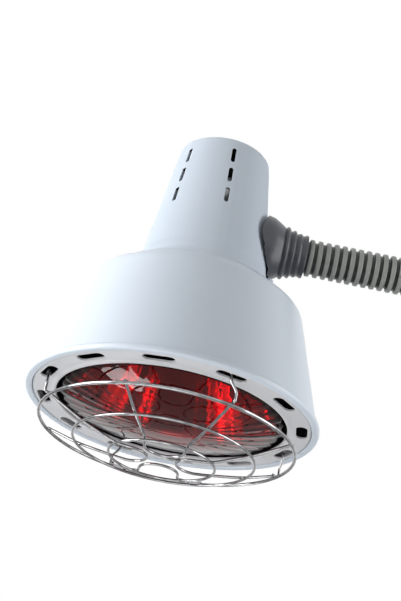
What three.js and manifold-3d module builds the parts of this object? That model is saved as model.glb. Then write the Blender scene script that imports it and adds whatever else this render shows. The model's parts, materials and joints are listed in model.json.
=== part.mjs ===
// Infrared heat therapy lamp head with its wire guard, reflector bulb and flexible ribbed arm.
// Millimetres, +Z up. The lamp's axis is parallel to Z, its opening faces down, and the arm runs along X.
// Sizes are laid out in the lamp's own frame: Z is zero at the vent ring's lower face and X is zero
// on the lamp's axis. The last lines move the arm's seat face to the origin.
import * as THREE from "three";
import { mergeVertices } from "three/addons/utils/BufferGeometryUtils.js";
import Module from "manifold-3d";

const wasm = await Module();
wasm.setup();

// Clearances
const seatGap = 0.3;
const threadGap = 0.35;
const overrun = 2;
const weldTolerance = 1e-4;

// Facets
const shadeSides = 40;
const neckSides = 28;
const bulbSides = 24;
const threadSides = 12;
const boreSides = 16;
const boltSides = 8;
const hoseSides = 8;
const wireSides = 5;

// Bulb: a pressed glass reflector lamp with a ruby front and a screw cap
const bulbRadius = 60.2;
const lensEdgeZ = 4;
const lensSag = 13;
const lensRim = 4;
const lensWall = 3;
const reflectorRim = 3;
const reflectorInset = 2.4;
const reflectorApexZ = 82;
const glassWall = 2.6;
const stubRadius = 11.4;
const stubLength = 12;
const capWall = 0.5;
const capSkirtRadius = 16.5;
const capSkirtLength = 14.5;
const threadCrest = 13.1;
const threadRoot = 12.2;
const threadPitch = 3.63;
const threadTurns = 5;
const capTaper = 6.25;
const insulatorRadius = 8.6;
const insulatorHeight = 2.6;
const tipRadius = 4.6;
const tipHeight = 1.4;
const tipTopShare = 0.8;
const filamentRadius = 1.3;
const filamentLength = 16;
const filamentDrop = 14;
const reflectorSteps = 5;
const postRadius = 0.7;
const postSpread = 5;

// Shade: a spun steel bell with a stepped dome, a hem band and a flattened lip
const sheet = 0.9;
const lipRadius = 2.4;
const lipCentreZ = -0.9;
const lipCurl = 30;
const lipFlatShare = 0.45;
const hemStand = 2.75;
const hemStep = 1;
const hemTop = 9.5;
const hemFold = 1;
const ringSeatHeight = 5.5;
const coneRun = 17.25;
const shoulderRound = 7.7;
const shoulderDrop = 15.8;
const domeDrop = 6.5;
const plateauStep = 0.4;
const domeHoleEdge = 1.6;

// Vent ring: the flat ring with slots that closes the shade round the bulb
const ringSheet = 1;
const ringWallHeight = 5;
const lensGap = 2.1;
const ringLand = 12.67;
const ringBead = 0.8;
const slotCount = 12;
const slotPhase = -8.5;
const slotInset = 5.1;
const slotLength = 16.5;
const slotWidth = 6;

// Wire guard
const guardSet = 1.5;
const guardDrop = 13.65;
const guardRingShares = [1, 0.709, 0.413];
const guardDepthShares = [0, 0.56, 0.94];
const guardDish = 13.65;
const frameWire = 0.9;
const fineWire = 0.75;
const weldBite = 0.4;
const bentWireCount = 4;
const bentPhase = -88;
const spokeSpread = 22.5;
const loopShare = 0.372;
const loopCentreShare = 0.648;
const loopDepthShare = 1;
const legTwist = -3;
const legStand = 2.4;
const hookTurn = -10;

// Neck housing: a tapered cup on the dome, set a little towards the arm
const neckWall = 1.2;
const neckTaper = 10.7;
const neckClearance = 8.4;
const neckHeadroom = 15.8;
const neckSetOver = 1.4;
const neckRound = 3.5;
const neckCrown = 0.8;
const crownEdge = 84;
const flareRound = 8;
const flareLift = 1.5;
const flareSkirt = 6;
const ventWidth = 2.5;
const ventLength = 10;
const ventPitch = 14.5;
const ventTopInset = 11.5;
const ventsInRow = 3;
const ventRowAngles = [-138, -81, 81, 138];
const rivetAngles = [90, 210, 330];
const rivetRadius = 1.5;
const rivetHeadRadius = 2.4;
const rivetHeadHeight = 1;
const rivetInset = 2.9;

// Arm: its height on the lamp, and the swivel through the neck's boss
const armRise = 35.2;
const bossRadius = 9;
const bossStand = 0.9;
const bossDepth = 6.2;
const nippleRadius = 5;
const nippleBore = 3.4;
const collarStep = 3.5;
const collarLength = 2.5;
const washerStep = 3.6;
const washerThickness = 0.9;
const nutFlats = 17;
const nutHeight = 3.2;
const nippleProud = 0.5;
const nippleGrip = 7.5;

// Rubber boot over the swivel: a skirt cut to the neck's face, and a ribbed stem
const bootMouthRadius = 19;
const bootStand = 3.5;
const bootLength = 17.5;
const bootWall = 1.5;
const skirtShares = [
  [0, 1.03],
  [0.7, 1],
];
const bootShares = [
  [0, 0.9],
  [0.1, 0.829],
  [0.222, 0.758],
  [0.279, 0.805],
  [0.422, 0.69],
  [0.507, 0.73],
  [0.622, 0.642],
  [0.707, 0.674],
  [0.827, 0.621],
  [0.93, 0.658],
  [1, 0.6],
];
const bootThroat = 4;

// Flexible arm: hollow ball-ended links in a ribbed sleeve
const linkCount = 12;
const ribsPerLink = 5;
const ribPitch = 4.75;
const ribHeight = 1.35;
const sleeveWall = 1.9;
const linkTurn = 9;
const ballRadius = 5.2;
const ballGap = 0.8;
const coreWall = 1.2;
const cupReachShare = 0.6;
const cupTaper = 0.5;
const linkNeck = 3.7;
const linkClearance = 0.45;
const cableBore = 2.4;

// End fitting of the arm
const ferruleStep = 1.75;
const ferruleLength = 23.5;
const ferruleWall = 2.5;
const ferruleChamfer = 1.2;
const endNippleReach = 20;
const endNippleGrip = 12;
const clampGrip = 5;
const endWasherStep = 4.5;
const endWasherThickness = 1.2;
const endNutHeight = 4;
const bushFlange = 1.5;
const bushLength = 9;

// Lampholder and its bracket
const holderRadius = 19.5;
const holderMouthDrop = 4.1;
const holderShoulderRise = 2.5;
const holderTopStep = 2.5;
const holderCrown = 7.1;
const holderRound = 1.5;
const contactWellHeight = 6.2;
const contactThickness = 0.8;
const contactWidth = 6;
const contactLength = 12;
const contactPost = 1.5;
const bracketSheet = 1.5;
const bracketWidth = 12;
const bracketSet = 3;
const bracketClearance = 0.9;
const bulbClearance = 0.7;
const footLength = 5;
const screwRadius = 1.6;
const screwHeadRadius = 2.6;
const screwHeadHeight = 1.4;
const screwGrip = 7;
const holderScrewSpread = 12;
const bridgeTrim = 0.4;

// Leads inside the neck
const leadRadius = 0.9;
const leadSpread = 1.7;
const leadLift = 4;
const terminalSpread = 7;
const terminalSet = 10.8;
const earthTag = 8;

// Helpers

const radians = THREE.MathUtils.degToRad;

// Points of an arc in a profile, from one angle to another in degrees.
function arc(centreR, centreZ, radius, from, to, steps) {
  const points = [];
  for (let i = 0; i <= steps; i++) {
    const a = radians(from + ((to - from) * i) / steps);
    points.push([centreR + radius * Math.cos(a), centreZ + radius * Math.sin(a)]);
  }
  return points;
}

// The angle, in degrees, at which a line from a point outside touches a circle; side is 1 or -1.
function tangentAngle(centreR, centreZ, radius, pointR, pointZ, side) {
  const r = pointR - centreR;
  const z = pointZ - centreZ;
  return THREE.MathUtils.radToDeg(Math.atan2(z, r) + side * Math.acos(radius / Math.hypot(r, z)));
}

// A closed three.js geometry as a solid, facing outwards.
function solid(geometry) {
  const bare = geometry.clone();
  bare.deleteAttribute("normal");
  bare.deleteAttribute("uv");
  const merged = mergeVertices(bare, weldTolerance);
  const index = merged.index.array;
  const faces = [];
  for (let i = 0; i < index.length; i += 3) {
    const [a, b, c] = [index[i], index[i + 1], index[i + 2]];
    if (a !== b && b !== c && c !== a) faces.push(a, b, c);
  }
  const build = (triangles) =>
    new wasm.Manifold(
      new wasm.Mesh({
        numProp: 3,
        vertProperties: new Float32Array(merged.attributes.position.array),
        triVerts: new Uint32Array(triangles),
      }),
    );
  const made = build(faces);
  return made.volume() < 0 ? build(faces.reverse()) : made;
}

// A solid back as a three.js geometry.
function geometryOf(made) {
  const mesh = made.getMesh();
  const positions = new Float32Array(mesh.numVert * 3);
  for (let i = 0; i < mesh.numVert; i++) {
    positions.set(mesh.vertProperties.subarray(i * mesh.numProp, i * mesh.numProp + 3), i * 3);
  }
  const geometry = new THREE.BufferGeometry();
  geometry.setAttribute("position", new THREE.BufferAttribute(positions, 3));
  geometry.setIndex(new THREE.BufferAttribute(new Uint32Array(mesh.triVerts), 1));
  return geometry;
}

// A profile of [radius, height] turned about Z. It starts and ends on the axis, or closes on itself.
function turned(profile, sides) {
  const closed = profile[0][0] > 0 ? [...profile, profile[0]] : profile;
  const points = closed.map(([r, z]) => new THREE.Vector2(Math.max(r, 0), z));
  return new THREE.LatheGeometry(points, sides).rotateX(Math.PI / 2);
}

// The same along X at the arm's height: heights in the profile are X positions.
function turnedOnArm(profile, sides) {
  return turned(profile, sides).rotateY(Math.PI / 2).translate(0, 0, armZ);
}

// A straight bar between two points.
function bar(from, to, radius, sides) {
  const a = new THREE.Vector3(...from);
  const b = new THREE.Vector3(...to);
  const direction = b.clone().sub(a);
  const geometry = new THREE.CylinderGeometry(radius, radius, direction.length(), sides);
  const turn = new THREE.Quaternion().setFromUnitVectors(
    new THREE.Vector3(0, 1, 0),
    direction.clone().normalize(),
  );
  const middle = a.add(b).divideScalar(2);
  return geometry.applyQuaternion(turn).translate(middle.x, middle.y, middle.z);
}

// A round wire along a smooth curve through points.
function wire(points, radius, steps, sides) {
  const path = new THREE.CatmullRomCurve3(points.map((p) => new THREE.Vector3(...p)), false, "centripetal");
  const section = new THREE.Shape(
    Array.from({ length: sides }, (_, i) => {
      const a = (2 * Math.PI * i) / sides;
      return new THREE.Vector2(radius * Math.cos(a), radius * Math.sin(a));
    }),
  );
  return new THREE.ExtrudeGeometry(section, { steps, extrudePath: path, bevelEnabled: false });
}

// A slot's outline with round ends, long in Y.
function slotShape(width, length, steps) {
  const r = width / 2;
  const reach = length / 2 - r;
  const ends = [...arc(0, reach, r, 0, 180, steps), ...arc(0, -reach, r, 180, 360, steps)];
  return new THREE.Shape(ends.map(([x, y]) => new THREE.Vector2(x, y)));
}

// A box from its lowest to its highest corner.
function block(low, high) {
  const size = high.map((v, i) => v - low[i]);
  const geometry = new THREE.BoxGeometry(...size);
  return geometry.translate(...low.map((v, i) => v + size[i] / 2));
}

function polar(radius, degrees, z) {
  return [radius * Math.cos(radians(degrees)), radius * Math.sin(radians(degrees)), z];
}

function finish(colour, roughness, metalness) {
  return { color: colour, roughness, metalness };
}

const whiteEnamel = finish(0xdfe4ea, 0.35, 0);
const ringEnamel = finish(0xdcdce0, 0.4, 0);
const chrome = finish(0xd8d8d8, 0.15, 1);
const zincSteel = finish(0xb4b6b8, 0.4, 1);
const brass = finish(0xc9a14a, 0.3, 1);
const rubyGlass = finish(0x8c0a12, 0.1, 0);
const mirrorGlass = finish(0xc8c8cc, 0.1, 1);
const blackGlass = finish(0x1a1a1e, 0.2, 0);
const porcelain = finish(0xeeece4, 0.3, 0);
const bootRubber = finish(0x50525a, 0.6, 0);
const sleevePlastic = finish(0x828482, 0.5, 0);
const blackPlastic = finish(0x222224, 0.5, 0);
const leadBrown = finish(0x5a3a22, 0.5, 0);
const leadBlue = finish(0x2a4a8c, 0.5, 0);
const leadGreen = finish(0x5a8c2a, 0.5, 0);
const tungsten = finish(0x8a8a8e, 0.5, 1);

const lamp = new THREE.Group();

function add(name, made, look) {
  const mesh = new THREE.Mesh(geometryOf(made), new THREE.MeshStandardMaterial(look));
  mesh.name = name;
  lamp.add(mesh);
}

// How much smaller a turned piece is across the flats of its thread facets than across their corners
const facetFit = Math.cos(Math.PI / threadSides);

// Heights of the bulb
const lensTopZ = lensEdgeZ + lensRim;
const reflectorFrontZ = lensTopZ + seatGap;
const reflectorBackZ = reflectorFrontZ + reflectorRim;
const capStartZ = reflectorApexZ + seatGap * 2;
const threadStartZ = capStartZ + capSkirtLength;
const threadEndZ = threadStartZ + threadPitch * threadTurns;
const insulatorZ = threadEndZ + capTaper;
const bulbTop = insulatorZ + insulatorHeight + tipHeight;

// The reflector's outer radius at a height.
function reflectorRadiusAt(z) {
  const share = (reflectorApexZ - z) / (reflectorApexZ - reflectorBackZ);
  return (bulbRadius - reflectorInset) * Math.sqrt(share);
}

// Heights of the dome and of the lampholder
const plateauZ = reflectorApexZ - domeDrop;
const shoulderCentreZ = plateauZ - shoulderDrop;
const holderMouthZ = threadStartZ - holderMouthDrop;
const holderShoulderZ = bulbTop + holderShoulderRise;
const wellTopZ = bulbTop + contactWellHeight - contactThickness;
const holderTopZ = wellTopZ + holderCrown;
const holderTopRadius = holderRadius - holderTopStep;
const bridgeZ = holderTopZ + seatGap;
const footZ = plateauZ + seatGap;
const armZ = plateauZ + armRise;

// The bracket stands clear of the lampholder, and its screws clear of the bulb.
const screwTipZ = plateauZ - sheet - seatGap - screwHeadHeight;
const footReach = bracketSheet + footLength / 2 - bridgeTrim;
const footScrewY = Math.max(
  reflectorRadiusAt(screwTipZ) + screwHeadRadius + bulbClearance,
  holderRadius + bracketClearance + footReach,
);
const bracketHalfSpan = footScrewY - footReach;
const bracketSpan = bracketHalfSpan + bracketSheet;
const footEnd = bracketSpan + footLength - bridgeTrim;
const domeHoleRadius = footScrewY - screwRadius - seatGap - domeHoleEdge;

// The neck goes round the bracket and over the leads.
const footCorner = Math.hypot(Math.abs(neckSetOver - bracketSet) + bracketWidth / 2, footEnd);
const neckBaseRadius = footCorner + neckClearance + neckWall;
const neckTopRadius = neckBaseRadius - neckTaper;
const neckTop = bridgeZ + 2 * leadLift + leadRadius + neckHeadroom;
const neckHeight = neckTop - plateauZ;
const plateauRadius = neckBaseRadius + flareRound + plateauStep;

// Where the neck's wall is at a height.
const neckShare = (z) => (z - plateauZ) / neckHeight;
const neckRadiusAt = (z) => neckBaseRadius + (neckTopRadius - neckBaseRadius) * neckShare(z);
const neckFaceAt = (z) => neckSetOver + neckRadiusAt(z);

// Shade: the vent ring goes round the bulb, and the shade round the vent ring.
const ringInner = bulbRadius + lensGap;
const ringOuter = ringInner + ringLand;
const slotCircle = ringOuter - slotInset;
const hemInner = ringOuter + seatGap;
const lipCentre = ringOuter + lipRadius * Math.cos(radians(lipCurl));
const rimRadius = lipCentre + lipRadius;
const creaseRadius = rimRadius - hemStand;
const shoulderRadius = rimRadius - coneRun;
const shoulderCentre = shoulderRadius - shoulderRound;

// The bell's outline from the dome's hole down to the hem, at a depth into the sheet.
function bellProfile(depth, steps) {
  const round = shoulderRound - depth;
  const top = plateauZ - depth;
  const base = creaseRadius - depth;
  const domeTangent = tangentAngle(shoulderCentre, shoulderCentreZ, round, plateauRadius, top, -1);
  const coneTangent = tangentAngle(shoulderCentre, shoulderCentreZ, round, base, hemTop + hemFold, 1);
  return [
    [domeHoleRadius, top],
    [plateauRadius, top],
    ...arc(shoulderCentre, shoulderCentreZ, round, domeTangent, coneTangent, steps),
    [base, hemTop + hemFold],
  ];
}

function shadeShell() {
  const outer = bellProfile(0, 4);
  const hem = [
    [creaseRadius + hemStep, hemTop],
    ...arc(lipCentre, 0, lipRadius, 0, -180 - lipCurl, 6).map(([r, z]) => [r, lipCentreZ + z * lipFlatShare]),
    [hemInner, 0],
    [hemInner, ringSeatHeight],
    [creaseRadius + hemStep - sheet, hemTop - sheet],
  ];
  const inner = bellProfile(sheet, 3).reverse();
  return solid(turned([...outer, ...hem, ...inner], shadeSides));
}

// Vent ring
function ventRing() {
  const profile = [
    [ringInner, -ringBead],
    [ringInner + ringSheet, -ringBead],
    [ringInner + ringSheet + ringBead, 0],
    [ringOuter, 0],
    [ringOuter, ringWallHeight],
    [ringOuter - ringSheet, ringWallHeight],
    [ringOuter - ringSheet, ringSheet],
    [ringInner, ringSheet],
  ];
  let ring = solid(turned(profile, shadeSides));
  for (let i = 0; i < slotCount; i++) {
    const slot = new THREE.ExtrudeGeometry(slotShape(slotWidth, slotLength, 4), {
      depth: ringSheet + 2 * overrun,
      bevelEnabled: false,
    });
    slot.translate(slotCircle, 0, -overrun).rotateZ(radians(slotPhase + (360 * i) / slotCount));
    ring = ring.subtract(solid(slot));
  }
  return ring;
}

// Wire guard: three rings in a dish, and four wires that are bent in and out over them with hooked ends
const guardRadius = slotCircle - guardSet;
const guardRings = guardRingShares.map((share, i) => ({
  radius: guardRadius * share,
  z: -guardDrop - guardDish * guardDepthShares[i],
}));

function guardHoop(radius, z, wireRadius, steps) {
  return solid(new THREE.TorusGeometry(radius, wireRadius, wireSides, steps).translate(0, 0, z));
}

function guardLeg(degrees) {
  const foot = degrees + legTwist;
  const hookZ = ringSheet + seatGap + frameWire;
  return solid(
    wire(
      [
        polar(guardRadius, degrees, -guardDrop),
        polar(guardRadius + legStand / 2, degrees, -guardDrop + frameWire),
        polar(guardRadius + legStand, degrees, -guardDrop + 3 * frameWire),
        polar(guardRadius + legStand, degrees, -3 * frameWire),
        polar(slotCircle, foot, -frameWire),
        polar(slotCircle, foot, hookZ - frameWire / 2),
        polar(slotCircle, foot + hookTurn / 4, hookZ),
        polar(slotCircle, foot + hookTurn, hookZ),
      ],
      frameWire,
      12,
      wireSides,
    ),
  );
}

// A wire bent in and out: a spoke inwards, a loop that stops short of the centre, and a spoke outwards.
// It lies on the frame ring and the middle ring, and bites into the centre ring that it is welded to.
function bentWire(degrees) {
  const [frame, middle, centre] = guardRings;
  const lay = 2 * fineWire - weldBite;
  const loopZ = -guardDrop - guardDish * loopDepthShare + lay;
  const inwards = [
    polar(frame.radius, spokeSpread, frame.z + frameWire + fineWire + seatGap),
    polar(middle.radius, spokeSpread, middle.z + 2 * fineWire + seatGap),
    polar(centre.radius, spokeSpread, centre.z + lay),
  ];
  const outwards = inwards.map(([x, y, z]) => [x, -y, z]).reverse();
  const loopRadius = centre.radius * loopShare;
  const loop = arc(centre.radius * loopCentreShare, 0, loopRadius, 90, 270, 6).map(([x, y]) => [x, y, loopZ]);
  return solid(wire([...inwards, ...loop, ...outwards], fineWire, 24, wireSides).rotateZ(radians(degrees)));
}

const bentAngles = Array.from({ length: bentWireCount }, (_, i) => bentPhase + (360 * i) / bentWireCount);

// The frame ring with its hooked legs.
function guardFrame() {
  let frame = guardHoop(guardRings[0].radius, guardRings[0].z, frameWire, shadeSides);
  for (const a of bentAngles) frame = frame.add(guardLeg(a + spokeSpread));
  return frame;
}

// The bent wires with the centre ring.
function wireGuard() {
  let guard = guardHoop(guardRings[2].radius, guardRings[2].z, fineWire, bulbSides);
  for (const a of bentAngles) guard = guard.add(bentWire(a));
  return guard;
}

// Neck housing
function neckHousing() {
  const filletCentre = neckBaseRadius + flareRound;
  const filletZ = plateauZ + flareLift + flareRound;
  const roundCentre = neckTopRadius - neckRound;
  const innerTop = neckTop - neckWall;
  const profile = [
    [0, neckTop + neckCrown],
    ...arc(roundCentre, neckTop - neckRound, neckRound, crownEdge, 0, 3),
    ...arc(filletCentre, filletZ, flareRound, 180, 270, 4),
    [filletCentre, plateauZ - flareSkirt],
    [neckBaseRadius - neckWall, plateauZ - flareSkirt],
    [neckTopRadius - neckWall, innerTop - neckRound],
    [roundCentre, innerTop],
    [0, innerTop + neckCrown],
  ];
  let neck = solid(turned(profile, neckSides).translate(neckSetOver, 0, 0));
  const boss = bar([bossInner, 0, armZ], [bossFace, 0, armZ], bossRadius, boreSides);
  neck = neck.add(solid(boss));
  const bore = bar([bossInner - overrun, 0, armZ], [bossFace + overrun, 0, armZ], nippleRadius + seatGap, boreSides);
  neck = neck.subtract(solid(bore));
  neck = neck.subtract(domeCutter());
  for (const row of ventRowAngles) {
    for (let i = 0; i < ventsInRow; i++) neck = neck.subtract(ventCutter(row, i));
  }
  for (const a of rivetAngles) neck = neck.subtract(solid(rivetShank(a, rivetRadius + seatGap)));
  return neck;
}

// The space of the shade's dome, lifted by the seat gap.
function domeCutter() {
  const lift = seatGap / Math.cos(Math.atan2(plateauZ - shoulderCentreZ, shoulderCentre - plateauRadius) / 2);
  const dome = bellProfile(0, 5).slice(1, -1);
  const floor = plateauZ - 2 * flareSkirt;
  const profile = [
    [0, plateauZ],
    ...dome.filter(([, z]) => z > floor),
    [shoulderRadius, floor],
    [0, floor],
  ];
  return solid(turned(profile, shadeSides).translate(0, 0, lift));
}

function ventCutter(row, i) {
  const z = neckTop - ventTopInset - ventPitch * i;
  const reach = neckRadiusAt(z) - neckWall - overrun;
  const slot = new THREE.ExtrudeGeometry(slotShape(ventWidth, ventLength, 3), {
    depth: neckWall + 2 * overrun,
    bevelEnabled: false,
  });
  slot.rotateX(Math.PI / 2).rotateZ(Math.PI / 2).translate(reach, 0, 0);
  return solid(slot.rotateZ(radians(row)).translate(neckSetOver, 0, z));
}

// Rivets through the neck's skirt and the dome
const rivetCircle = neckBaseRadius + flareRound - rivetInset;
const rivetTopZ = plateauZ + flareLift + flareRound - Math.sqrt(flareRound ** 2 - (rivetInset + rivetHeadRadius) ** 2);

function rivetPlace(degrees) {
  const [x, y] = polar(rivetCircle, degrees, 0);
  return [x + neckSetOver, y];
}

function rivetShank(degrees, radius) {
  const [x, y] = rivetPlace(degrees);
  return bar([x, y, plateauZ - sheet - flareSkirt - overrun], [x, y, rivetTopZ + rivetHeadHeight], radius, boltSides);
}

function neckRivet(degrees) {
  const [x, y] = rivetPlace(degrees);
  const under = bellHeightAt(Math.hypot(x, y) + rivetHeadRadius) - sheet - 2 * seatGap;
  const top = rivetTopZ + seatGap;
  const profile = [
    [0, under - rivetHeadHeight],
    [rivetHeadRadius, under - rivetHeadHeight],
    [rivetHeadRadius, under],
    [rivetRadius, under],
    [rivetRadius, top],
    [rivetHeadRadius, top],
    [rivetHeadRadius / 2, top + rivetHeadHeight],
    [0, top + rivetHeadHeight],
  ];
  return solid(turned(profile, boltSides).translate(x, y, 0));
}

// The dome's outer height at a radius.
function bellHeightAt(radius) {
  const points = bellProfile(0, 5);
  for (let i = 1; i < points.length; i++) {
    const [r0, z0] = points[i - 1];
    const [r1, z1] = points[i];
    if (radius >= r0 && radius <= r1) return z0 + ((z1 - z0) * (radius - r0)) / (r1 - r0);
  }
  return plateauZ;
}

// Swivel through the neck's boss
const bossFace = neckFaceAt(armZ - bossRadius) + bossStand;
const bossInner = bossFace - bossDepth;
const collarStart = bossFace + seatGap;
const coreEnd = collarStart + collarLength + seatGap;
const washerStart = bossInner - seatGap - washerThickness;
const nutStart = washerStart - seatGap - nutHeight;
const nippleStart = nutStart - nippleProud;

function tubeProfile(start, end, outer, bore) {
  return [
    [bore, start],
    [outer, start],
    [outer, end],
    [bore, end],
  ];
}

function swivelNipple() {
  const tube = solid(turnedOnArm(tubeProfile(nippleStart, coreEnd + nippleGrip, nippleRadius, nippleBore), boreSides));
  const collar = tubeProfile(collarStart, collarStart + collarLength, nippleRadius + collarStep, nippleBore);
  return tube.add(solid(turnedOnArm(collar, boreSides)));
}

function hexNut(start, height) {
  const hex = new THREE.CylinderGeometry(nutFlats / Math.sqrt(3), nutFlats / Math.sqrt(3), height, 6);
  hex.rotateZ(Math.PI / 2).translate(start + height / 2, 0, armZ);
  const bore = bar([start - overrun, 0, armZ], [start + height + overrun, 0, armZ], nippleRadius + seatGap, boreSides);
  return solid(hex).subtract(solid(bore));
}

function washer(start, thickness, step) {
  return solid(turnedOnArm(tubeProfile(start, start + thickness, nippleRadius + step, nippleRadius + seatGap), boreSides));
}

// Boot: its lip stands off the neck all round, so the skirt reaches furthest at the neck's sides
const bootMouthX = neckFaceAt(armZ - bootMouthRadius) + bootStand;
const armStart = bootMouthX + bootLength;
const saddleRadius = neckRadiusAt(armZ) + bootStand;
const skirtX = neckSetOver + Math.sqrt(saddleRadius ** 2 - bootMouthRadius ** 2) - overrun;

function boot() {
  const skirt = skirtShares.map(([along, across]) => [
    bootMouthRadius * across,
    skirtX + (bootMouthX - skirtX) * along,
  ]);
  const stem = bootShares.map(([along, across]) => [bootMouthRadius * across, bootMouthX + bootLength * along]);
  const outer = [...skirt, ...stem];
  const hold = (coreRadius + seatGap) / Math.cos(Math.PI / boreSides);
  const inner = outer.slice(0, bootThroat).map(([r, x]) => [r - bootWall, x]);
  inner.push([hold, outer[bootThroat][1]], [hold, armStart]);
  inner.reverse();
  return solid(turnedOnArm([...outer, ...inner], boreSides)).subtract(saddleCutter());
}

// The neck's body, grown by the boot's stand, as high as the boot's mouth.
function saddleCutter() {
  const low = armZ - 2 * bootMouthRadius;
  const high = armZ + 2 * bootMouthRadius;
  const profile = [
    [0, low],
    [neckRadiusAt(low) + bootStand, low],
    [neckRadiusAt(high) + bootStand, high],
    [0, high],
  ];
  return solid(turned(profile, neckSides).translate(neckSetOver, 0, 0));
}

// Flexible arm. Link 1 is next to the end fitting and the last link next to the lamp.
const linkLength = ribPitch * ribsPerLink;
const armEnd = armStart + linkLength * linkCount;
const cupRadius = ballRadius + ballGap;
const coreRadius = cupRadius + coreWall;
const cupReach = ballRadius * cupReachShare;
const linkShoulder = cupReach + coreRadius * Math.sin(radians(linkTurn)) + linkClearance;
const grooveRadius = coreRadius + seatGap + sleeveWall;
const crestRadius = grooveRadius + ribHeight;
const coreNippleBore = (nippleRadius + seatGap) / Math.cos(Math.PI / hoseSides);
const sleeveEndGap = grooveRadius * Math.tan(radians(linkTurn) / 2) + seatGap;

// Outline of a ball and the neck behind it, towards the lamp; X falls along it.
function ballProfile(ballX) {
  const back = THREE.MathUtils.radToDeg(Math.asin(cableBore / ballRadius));
  const front = THREE.MathUtils.radToDeg(Math.asin(linkNeck / ballRadius));
  return [
    ...arc(0, 0, ballRadius, back, 180 - front, 3).map(([x, r]) => [r, ballX + x]),
    [linkNeck, ballX - linkShoulder],
    [coreRadius, ballX - linkShoulder],
  ];
}

// Outline of a cup that holds a ball, from its mouth inwards; X rises along it.
function cupProfile(ballX) {
  const mouth = THREE.MathUtils.radToDeg(Math.acos(cupReach / cupRadius));
  const bottom = THREE.MathUtils.radToDeg(Math.asin(cableBore / cupRadius));
  return [
    [coreRadius, ballX],
    [coreRadius - cupTaper, ballX - cupReach],
    ...arc(0, 0, cupRadius, 180 - mouth, bottom, 3).map(([x, r]) => [r, ballX + x]),
  ];
}

function coreLink(number) {
  const ballX = armEnd - linkLength * (number - 1);
  if (number < linkCount) {
    return solid(turnedOnArm([...ballProfile(ballX), ...cupProfile(ballX - linkLength)], hoseSides));
  }
  const profile = [
    ...ballProfile(ballX),
    [coreRadius, coreEnd],
    [coreNippleBore, coreEnd],
    [coreNippleBore, coreEnd + nippleGrip + seatGap],
    [cableBore, coreEnd + nippleGrip + seatGap],
  ];
  return solid(turnedOnArm(profile, hoseSides));
}

// A stretch of ribbed sleeve with its bore: each rib is a crest ring and a groove ring.
function sleeve(number) {
  const high = armEnd - linkLength * (number - 1);
  const low = high - linkLength;
  const lampEnd = number === linkCount ? seatGap : sleeveEndGap;
  const bore = coreRadius + seatGap / Math.cos(Math.PI / hoseSides);
  const outer = [[grooveRadius, low + lampEnd]];
  for (let i = 0; i < ribsPerLink; i++) {
    outer.push([crestRadius, low + ribPitch * (i + 1 / 2)]);
    outer.push([grooveRadius, i < ribsPerLink - 1 ? low + ribPitch * (i + 1) : high - sleeveEndGap]);
  }
  const inner = [
    [bore, high - sleeveEndGap],
    [bore, low + lampEnd],
  ];
  return solid(turnedOnArm([...outer, ...inner], hoseSides));
}

// End fitting
const ferruleStart = armEnd + sleeveEndGap;
const ferruleRadius = crestRadius + ferruleStep;
const seatX = ferruleStart + ferruleLength;
const endWallX = seatX - ferruleWall;
const endNippleEnd = seatX + endNippleReach;

function endFerrule() {
  const profile = [
    [coreRadius + seatGap, ferruleStart],
    [ferruleRadius - ferruleChamfer, ferruleStart],
    [ferruleRadius, ferruleStart + ferruleChamfer],
    [ferruleRadius, seatX],
    [nippleRadius + seatGap, seatX],
    [nippleRadius + seatGap, endWallX],
    [coreRadius + seatGap, endWallX],
  ];
  return solid(turnedOnArm(profile, boreSides));
}

function endCore() {
  const gripStart = endWallX - endNippleGrip;
  const profile = [
    ...cupProfile(armEnd),
    [cableBore, gripStart],
    [coreNippleBore, gripStart],
    [coreNippleBore, endWallX - seatGap],
    [coreRadius, endWallX - seatGap],
  ];
  return solid(turnedOnArm(profile, hoseSides));
}

function cordBush() {
  const start = endNippleEnd - bushLength;
  const profile = [
    [cableBore, start],
    [nippleBore - seatGap, start],
    [nippleBore - seatGap, endNippleEnd + seatGap],
    [nippleRadius, endNippleEnd + seatGap],
    [nippleRadius, endNippleEnd + seatGap + bushFlange],
    [cableBore, endNippleEnd + seatGap + bushFlange],
  ];
  return solid(turnedOnArm(profile, boltSides));
}

// Bulb

// A shallow dome's outline from its edge to the axis.
function domeProfile(radius, edgeZ, sag, steps) {
  const points = [];
  for (let i = 0; i <= steps; i++) {
    const share = 1 - i / steps;
    points.push([radius * share, edgeZ - sag * (1 - share ** 2)]);
  }
  return points;
}

// The reflector's parabola from its front edge to its stub.
function parabola(frontRadius, apexZ, endRadius, steps) {
  const depth = apexZ - reflectorBackZ;
  const points = [];
  for (let i = 0; i <= steps; i++) {
    const r = frontRadius + ((endRadius - frontRadius) * i) / steps;
    points.push([r, apexZ - depth * (r / frontRadius) ** 2]);
  }
  return points;
}

function bulbLens() {
  const outer = domeProfile(bulbRadius, lensEdgeZ, lensSag, 5);
  const inner = domeProfile(bulbRadius - lensWall, lensEdgeZ + lensWall / 2, lensSag, 4).reverse();
  const profile = [...outer, ...inner, [bulbRadius - lensWall, lensTopZ], [bulbRadius, lensTopZ]];
  const last = profile.length;
  const start = outer.length - 1;
  const ordered = Array.from({ length: last }, (_, i) => profile[(start + 1 + i) % last]);
  return solid(turned(ordered, bulbSides));
}

function bulbReflector() {
  const front = bulbRadius - reflectorInset;
  const innerApex = reflectorApexZ - glassWall;
  const profile = [
    [0, reflectorApexZ + stubLength],
    [stubRadius, reflectorApexZ + stubLength],
    ...parabola(front, reflectorApexZ, stubRadius, reflectorSteps).reverse(),
    [bulbRadius, reflectorBackZ - reflectorRim / 3],
    [bulbRadius, reflectorFrontZ],
    [bulbRadius - lensWall, reflectorFrontZ],
    ...parabola(front - glassWall, innerApex, 0, reflectorSteps),
  ];
  return solid(turned(profile, bulbSides));
}

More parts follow.
